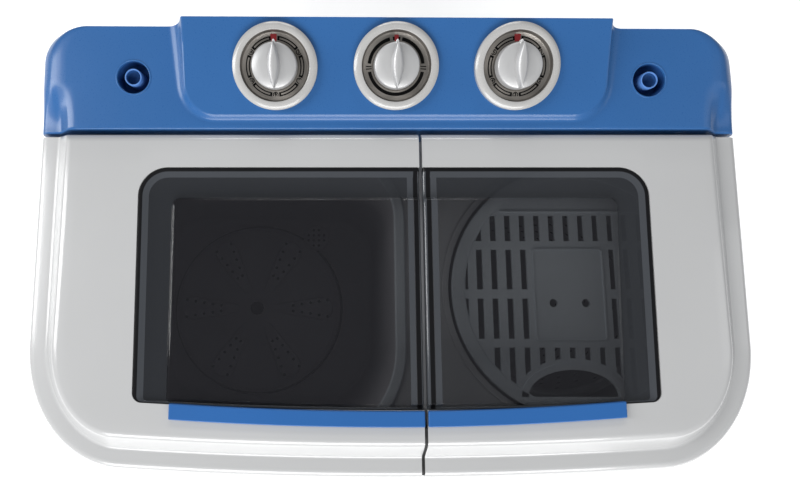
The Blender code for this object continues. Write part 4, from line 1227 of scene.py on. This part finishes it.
def rounded_box(left, right, front, rear, radius, rear_radius=None, steps=8):
    """A box's plan with one radius for its front corners and, if given, another for its rear ones."""
    rear_radius = rear_radius or radius
    corners = (
        (right, front, -90, radius),
        (right, rear, 0, rear_radius),
        (left, rear, 90, rear_radius),
        (left, front, 180, radius),
    )
    points = []
    for x, y, start, radius in corners:
        centre_x = x - math.copysign(radius, x - (left + right) / 2)
        centre_y = y - math.copysign(radius, y - (front + rear) / 2)
        points += arc(centre_x, centre_y, radius, radius, start, start + 90, steps)
    return points


def wash_tub():
    """Open tub with a rounded rim and a softly rounded floor."""
    left, right, front, rear = WASH_MOUTH
    corners = [
        (-TUB_RIM_WIDTH, DECK_TOP + 0.0003),
        (-TUB_RIM_WIDTH, TUB_RIM_TOP),
        (0.0, TUB_RIM_TOP),
        (0.0050, WASH_FLOOR),
        (0.0700, WASH_FLOOR),
    ]
    section = fillet(corners, {1: 0.0015, 2: 0.0020, 3: 0.0120}, 6)
    rows = []
    for inset, height in section:
        sides = (left + inset, right - inset, front + inset, rear - inset)
        radii = [max(radius - inset, 0.004) for radius in (WASH_FRONT_CORNER, WASH_REAR_CORNER)]
        rows.append([(x, y, height) for x, y in rounded_box(*sides, *radii, 24)])
    points, faces = skin(rows, closed=True)
    faces.append(end_face(rows))
    marks = [0 if inset <= 0.0 else 1 for inset, _ in section[1:] for _ in rows[0]] + [1]
    obj = piece("wash_tub_skin", points, faces, ("cover", "bowl"), "machine", ["wash_tub"], marks=marks)
    solid_skin(orient_up(obj), WASH_TUB_WALL, 0.0004, 2)


def pulsator():
    """Domed disc with six blades, each with two spreading rows of holes drawn as dark discs of painted shade,
    and a dark cap in the middle. A dark ring on the floor round it is a painted shadow.
    """
    low = WASH_FLOOR + 0.0025
    place = at(WASH_X, WASH_Y)
    dome = [(0.0, low + 0.0180), (0.0200, low + 0.0165), (0.0500, low + 0.0105), (0.1025, low + 0.0080)]
    dome += [(PULSATOR_RADIUS, low + 0.0060), (PULSATOR_RADIUS, low)]
    profile = fillet(dome, {1: 0.03, 2: 0.03, 3: 0.01, 4: 0.0015}, 5)
    lathe("pulsator_disc", profile, place, "bowl", "pulsator_drive", ["pulsator"], 128)
    top = WASH_FLOOR + 0.0185
    blade = [(0.018, -0.005)] + arc(0.084, 0.0, 0.015, 0.015, -90, 90, 16) + [(0.018, 0.005)]
    spots = []
    for i in range(PULSATOR_BLADES):
        turned = place @ turn(2 * math.pi * i / PULSATOR_BLADES, "Z")
        name = "pulsator_blade_%d" % (i + 1)
        obj = extruded(name, blade, WASH_FLOOR + 0.006, top, turned, "bowl", "pulsator_drive")
        obj.data.shade_smooth()
        rounded(obj, 0.0030, 4, 50)
        for k in range(5):
            along = 0.047 + 0.0112 * k
            for side in (-1, 1):
                spots.append(turned @ at(along, side * (0.0035 + 0.0018 * k), top + 0.0001))
    discs("pulsator_holes", spots, 0.0019, "hole", "pulsator_drive")
    head = WASH_FLOOR + 0.0208
    cap = fillet([(0.0, head + 0.003), (0.0080, head + 0.002), (0.0085, head - 0.001)], {1: 0.001}, 4)
    lathe("pulsator_cap", cap, place, "dark", "pulsator_drive", ["pulsator_screw"], 48)
    # A dark ring on the floor round the disc: painted shadow
    shadow = [(PULSATOR_RADIUS + gap, WASH_FLOOR + 0.0006) for gap in (0.0004, 0.0030)]
    lathe("pulsator_painted_shadow", shadow, place, "hole", "machine", (), 128)


def drain_cap():
    """Low round cap over the drain with rows of holes drawn as dark discs of painted shade."""
    place = at(DRAIN_X, DRAIN_Y, WASH_FLOOR)
    profile = fillet([(0.0, 0.0030), (0.0165, 0.0030), (0.0175, 0.0003)], {1: 0.0010}, 4)
    lathe("drain_cap", profile, place, "bowl", "machine", ["drain_grille"], 64)
    spots = []
    for i in range(4):
        for k in range(4):
            if i in (0, 3) and k in (0, 3):
                continue
            spots.append(place @ at(0.0070 * (i - 1.5), 0.0070 * (k - 1.5), 0.0031))
    discs("drain_holes", spots, 0.0017, "hole", "machine")


def spin_tub():
    """Outer tub on the spin side, smooth and open at the top."""
    inner = 0.030
    radius = SPIN_TUB_RADIUS
    outer = radius + SPIN_TUB_WALL
    flange = radius + SPIN_TUB_FLANGE
    flange_top = TUB_RIM_TOP - 0.0018
    flange_low = DECK_TOP + 0.0003
    bottom = SPIN_FLOOR - SPIN_TUB_WALL
    corners = [(inner, SPIN_FLOOR), (radius, SPIN_FLOOR), (radius, flange_top), (flange, flange_top)]
    corners += [(flange, flange_low), (outer, flange_low), (outer, bottom), (inner, bottom)]
    profile = fillet(corners, {1: 0.012, 2: 0.0008, 3: 0.0006}, 5)
    lathe("spin_tub_skin", profile, at(SPIN_X, SPIN_Y), "tub", "machine", ["spin_tub"], 96, True)


def spin_basket():
    """Steel basket with a cone in its floor and rows of holes in its wall, drawn as dark discs of painted
    shade.
    """
    inside = BASKET_RADIUS - BASKET_WALL
    corners = [
        (0.0, BASKET_BOTTOM + 0.060),
        (0.0120, BASKET_BOTTOM + 0.056),
        (0.0300, BASKET_BOTTOM + 0.006),
        (inside, BASKET_BOTTOM + BASKET_WALL),
        (inside, BASKET_TOP - 0.010),
        (BASKET_RADIUS - 0.010, BASKET_TOP - 0.003),
        (BASKET_RADIUS - 0.010, BASKET_TOP),
        (BASKET_RADIUS, BASKET_TOP),
        (BASKET_RADIUS, BASKET_BOTTOM),
        (0.0, BASKET_BOTTOM),
    ]
    profile = fillet(corners, {1: 0.006, 2: 0.012, 3: 0.010, 4: 0.004, 7: 0.003, 8: 0.012}, 6)
    centre = at(SPIN_X, SPIN_Y)
    lathe("spin_basket_skin", profile, centre, "steel", "spin_rotor", ["spin_basket"], 96)
    spots = []
    for row in range(10):
        for i in range(28):
            round_axis = turn(2 * math.pi * (i + 0.5 * (row % 2)) / 28, "Z")
            inward = at(inside - 0.0001, 0.0, BASKET_BOTTOM + 0.040 + 0.024 * row)
            spots.append(centre @ round_axis @ inward @ turn(-math.pi / 2, "Y"))
    discs("spin_basket_holes", spots, 0.0024, "hole", "spin_rotor", 8)


def scoop_arch(x):
    """Y, from the cover's centre, of the line over the finger scoop's border."""
    part = (x - SCOOP_X) / (SCOOP_HALF_WIDTH + SCOOP_BORDER + SCOOP_LAND)
    if abs(part) > 1:
        return -COVER_RADIUS
    return SCOOP_LOW + (SCOOP_HEIGHT + SCOOP_BORDER + SCOOP_LAND) * math.sqrt(1 - part * part)


def cover_slots():
    """Drain slots in rows, left out over the middle plate and trimmed to the rim and the finger scoop."""
    slots = []
    reach = COVER_RADIUS - COVER_BAND
    plate_left, plate_right, plate_front, plate_rear = COVER_PLATE
    for low, high in SLOT_ROWS:
        for i in range(-SLOT_REACH, SLOT_REACH + 1):
            centre_x = SLOT_CENTRE_X + i * SLOT_PITCH
            ends = []
            for x in even(centre_x - SLOT_WIDTH / 2, centre_x + SLOT_WIDTH / 2, 6):
                edge = math.sqrt(max(reach * reach - x * x, 0.0))
                front = max(low, -edge, scoop_arch(x))
                rear = min(high, edge)
                if rear - front > 0.001:
                    ends.append((x, front, rear))
            if len(ends) < 4:
                continue
            over_plate = plate_left < centre_x < plate_right and low < plate_rear and high > plate_front
            if over_plate or max(rear - front for _, front, rear in ends) <= SLOT_SHORTEST:
                continue
            slot = [(x, front) for x, front, _ in ends]
            slots.append(slot + [(x, rear) for x, _, rear in reversed(ends)])
    return slots


def spin_cover():
    """Round slotted lid on the spin side, with a rim, a framed middle plate and a bordered scoop."""
    body = "safety_cover"
    place = at(SPIN_X, SPIN_Y)
    hinge_y = COVER_HINGE_Y - SPIN_Y
    start = math.degrees(math.acos(COVER_TAB / COVER_RADIUS))
    edge = arc(0.0, 0.0, COVER_RADIUS, COVER_RADIUS, 180 - start, 360 + start, 96)
    edge += [(COVER_TAB, hinge_y), (-COVER_TAB, hinge_y)]
    scoop = arc(SCOOP_X, SCOOP_LOW, SCOOP_HALF_WIDTH, SCOOP_HEIGHT, 0, 180, 32)
    plate_left, plate_right, plate_front, plate_rear = COVER_PLATE
    middle = (plate_left + plate_right) / 2
    holes = [arc(middle + side * 0.0140, -0.0114, 0.0036, 0.0036, 0, 345, 23) for side in (-1, 1)]
    bottom = COVER_TOP - COVER_THICKNESS
    outlines = [edge, scoop] + holes + cover_slots()
    cut_plate("spin_cover_plate", outlines, bottom, COVER_TOP, place, "cover", body, ["spin_safety_cover"])
    low = COVER_TOP - 0.0005
    high = COVER_TOP + COVER_RAISED
    inner = COVER_RADIUS - COVER_BAND + 0.001
    outer = COVER_RADIUS - 0.0003
    band = fillet([(inner, low), (inner, high), (outer, high), (outer, low)], {1: 0.0006, 2: 0.0008}, 4)
    lathe("spin_cover_rim", band, place, "cover", body, (), 128)
    raised = [rounded_box(plate_left, plate_right, plate_front, plate_rear, 0.003, steps=4)]
    left, right = plate_left + COVER_LINE, plate_right - COVER_LINE
    raised.append(rounded_box(left, right, plate_front + COVER_LINE, plate_rear - COVER_LINE, 0.002, steps=4))
    raised.append(rounded_box(-0.066, 0.066, 0.0684, 0.0684 + COVER_LINE, 0.0006, steps=2))
    cut_plate("spin_cover_lines", raised, low, COVER_TOP + 0.0010, place, "cover", body)
    wide = SCOOP_HALF_WIDTH + SCOOP_BORDER
    tall = SCOOP_HEIGHT + SCOOP_BORDER
    border = arc(SCOOP_X, SCOOP_LOW, wide, tall, 0, 180, 32)
    border += arc(SCOOP_X, SCOOP_LOW, SCOOP_HALF_WIDTH, SCOOP_HEIGHT, 180, 0, 32)
    cut_plate("spin_cover_scoop_border", [border], low, high, place, "cover", body)
    axis = at(SPIN_X, COVER_HINGE_Y, COVER_HINGE_Z) @ turn(math.pi / 2, "Y")
    half = COVER_TAB + 0.001
    barrel = fillet([(0.0, half), (0.0040, half), (0.0040, -half), (0.0, -half)], {1: 0.0006, 2: 0.0006}, 4)
    lathe("spin_cover_barrel", barrel, axis, "cover", body, (), 32)


# ---------------------------------------------------------------- cabinet


def outline_rows(section, rear_less):
    """The machine's outline at each (inset, height), set in this much less at the rear."""
    rows = []
    for inset, height in section:
        rows.append([(x, y, height) for x, y in whole_outline(inset, inset - rear_less)])
    return rows


def cabinet():
    """Painted shell, dark base tray and four rubber feet."""
    inner = CABINET_INSET + 0.0030
    corners = [(inner, CABINET_BOTTOM), (CABINET_INSET, CABINET_BOTTOM)]
    corners += [(CABINET_INSET, CABINET_TOP), (inner, CABINET_TOP)]
    rows = outline_rows(fillet(corners, {1: 0.0012, 2: 0.0006}, 4), 0.0020)
    points, faces = skin(rows, closed=True)
    face_out(piece("cabinet_skin", points, faces, "cabinet", "machine", ["cabinet_shell"]))
    low = FOOT_HEIGHT + 0.0003
    foot_inset = TRAY_INSET + 0.0010
    section = fillet([(foot_inset + 0.0300, low), (foot_inset, low), (TRAY_INSET, TRAY_TOP)], {1: 0.0030}, 5)
    rows = outline_rows(section, 0.0005)
    points, faces = skin(rows, closed=True)
    faces.append(tuple(range(len(rows[0]))))
    face_out(piece("base_tray_skin", points, faces, "dark", "machine", ["base_tray"]))
    corners = [(0.0, FOOT_HEIGHT), (0.015, FOOT_HEIGHT), (0.019, 0.003), (0.017, 0.0), (0.0, 0.0)]
    foot = fillet(corners, {2: 0.002, 3: 0.001}, 4)
    for name, (x, y) in FEET.items():
        lathe(name + "_skin", foot, at(x, y), "rubber", "machine", [name], 48)


def rear_wall():
    """Rear cover with its screws, the drain outlet and the cable gland."""
    upright = at(0.0, REAR_COVER_Y, REAR_COVER_MIDDLE) @ turn(math.pi / 2, "X")
    outline = rounded_box(-0.212, 0.212, -0.162, 0.162, 0.012)
    levels = (-REAR_COVER_WALL, 0.0)
    obj = extruded("rear_cover_skin", outline, *levels, upright, "cabinet", "machine", ["rear_cover"])
    obj.data.shade_smooth()
    rounded(obj, 0.0007)
    out = turn(-math.pi / 2, "X")
    head = fillet([(0.0, 0.0018), (0.0035, 0.0014), (0.0040, 0.0)], {1: 0.0005}, 3)
    for i, x in enumerate(REAR_SCREW_X):
        for k, z in enumerate(REAR_SCREW_Z):
            place = at(x, REAR_COVER_Y + 0.0018, z) @ out
            lathe("rear_screw_%d_%d" % (i + 1, k + 1), head, place, "steel", "machine", (), 32)
    spout = [(0.0100, 0.0), (0.0100, 0.0262), (0.0120, 0.0262), (0.0137, 0.0215), (0.0122, 0.0210)]
    spout += [(0.0137, 0.0165), (0.0122, 0.0160), (0.0122, 0.0080), (0.0140, 0.0080), (0.0140, 0.0)]
    lathe("drain_outlet_skin", spout, at(*OUTLET) @ out, "dark", "machine", ["drain_outlet"], 64)
    gland = [(0.0040, -0.0060), (0.0040, 0.0090), (0.0060, 0.0090), (0.0080, 0.0040), (0.0080, -0.0060)]
    profile = fillet(gland, {2: 0.0008, 3: 0.0012}, 4)
    lathe("cable_gland_skin", profile, at(*GLAND) @ out, "dark", "machine", ["cable_gland"], 48)


# ---------------------------------------------------------------- studio


def area_light(name, place, aim, size, power):
    light = bpy.data.lights.new(name, "AREA")
    light.shape = "RECTANGLE"
    light.size, light.size_y = size
    light.energy = power
    obj = added(name, light)
    obj.location = place
    obj.rotation_euler = (Vector(aim) - Vector(place)).to_track_quat("-Z", "Y").to_euler()


def studio():
    """Pale floor, soft boxes round the machine and an even grey surround."""
    mesh = bpy.data.meshes.new("floor")
    reach = 4.0
    corners = [(-reach, -reach, 0), (reach, -reach, 0), (reach, reach, 0), (-reach, reach, 0)]
    mesh.from_pydata(corners, [], [(0, 1, 2, 3)])
    paper = finish_material("floor_paper", (0.97, 0.97, 0.97), 0.9, variation=0.003)
    glow = {"Emission Color": (1.0, 1.0, 1.0, 1.0), "Emission Strength": 0.22}
    set_inputs(paper.node_tree.nodes["Principled BSDF"], glow)
    mesh.materials.append(paper)
    floor = added("floor", mesh)
    world = bpy.data.worlds.new("surround")
    world.use_nodes = True
    sky = {"Color": (0.80, 0.82, 0.85, 1.0), "Strength": 0.33}
    set_inputs(world.node_tree.nodes["Background"], sky)
    bpy.context.scene.world = world
    aim = (0.0, 0.0, 0.45)
    area_light("left_box", (-2.1, 0.2, 1.8), aim, (0.8, 1.8), 38.0)
    area_light("right_box", (2.0, 0.0, 1.9), aim, (0.5, 1.4), 2.2)
    area_light("front_box", (-0.1, -2.4, 1.6), aim, (3.0, 1.3), 90.0)
    area_light("rear_box", (0.0, 2.2, 2.0), aim, (1.6, 0.5), 16.0)


def camera():
    data = bpy.data.cameras.new("camera")
    data.lens = 25.65
    data.sensor_width = 36.0
    data.shift_x = 0.075
    data.clip_start = 0.01
    obj = added("camera", data)
    obj.location = (-0.0420, -0.0690, 1.0546)
    obj.rotation_euler = (math.radians(8.4), 0.0, 0.0)
    bpy.context.scene.camera = obj


LOOK_NODES = {
    "cabinet": ("cabinet_shell", "rear_cover"),
    "tub": ("tub_deck", "wash_tub", "spin_tub", "pulsator", "capacitor", "drain_grille"),
    "blue": ("control_panel",),
    "cover": ("spin_safety_cover",),
    "steel": ("spin_basket", "wash_shaft", "spin_shaft", "pulsator_screw", "brake_lever"),
    "rubber": ("v_belt", "spin_bellows_seal", "drain_valve_plunger"),
    "motor": ("wash_motor", "wash_gearbox", "spin_motor", "wash_pulley", "wash_motor_pulley"),
}
FAMILY_LOOKS = {"foot_": "rubber", "hinge_bracket_": "steel", "spin_motor_spring_": "steel"}


def look_of(name):
    """The look of a CAD node: dark plastic unless its name or its family says otherwise."""
    if name.endswith("_hinge_pin"):
        return "steel"
    for family, look in FAMILY_LOOKS.items():
        if name.startswith(family):
            return look
    for look, names in LOOK_NODES.items():
        if name in names:
            return look
    return "dark"


def dress_nodes(nodes):
    """Give each CAD node its material."""
    for name, obj in nodes.items():
        for slot in obj.material_slots:
            slot.material = MATERIALS[look_of(name)]


def main():
    bpy.context.scene.view_settings.view_transform = "Standard"
    MATERIALS.update(make_materials())
    dress_nodes(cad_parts)
    camera()
    studio()
    cabinet()
    rear_wall()
    wash_tub()
    pulsator()
    drain_cap()
    spin_tub()
    spin_basket()
    spin_cover()
    lids()
    control_panel()
    controls()


main()
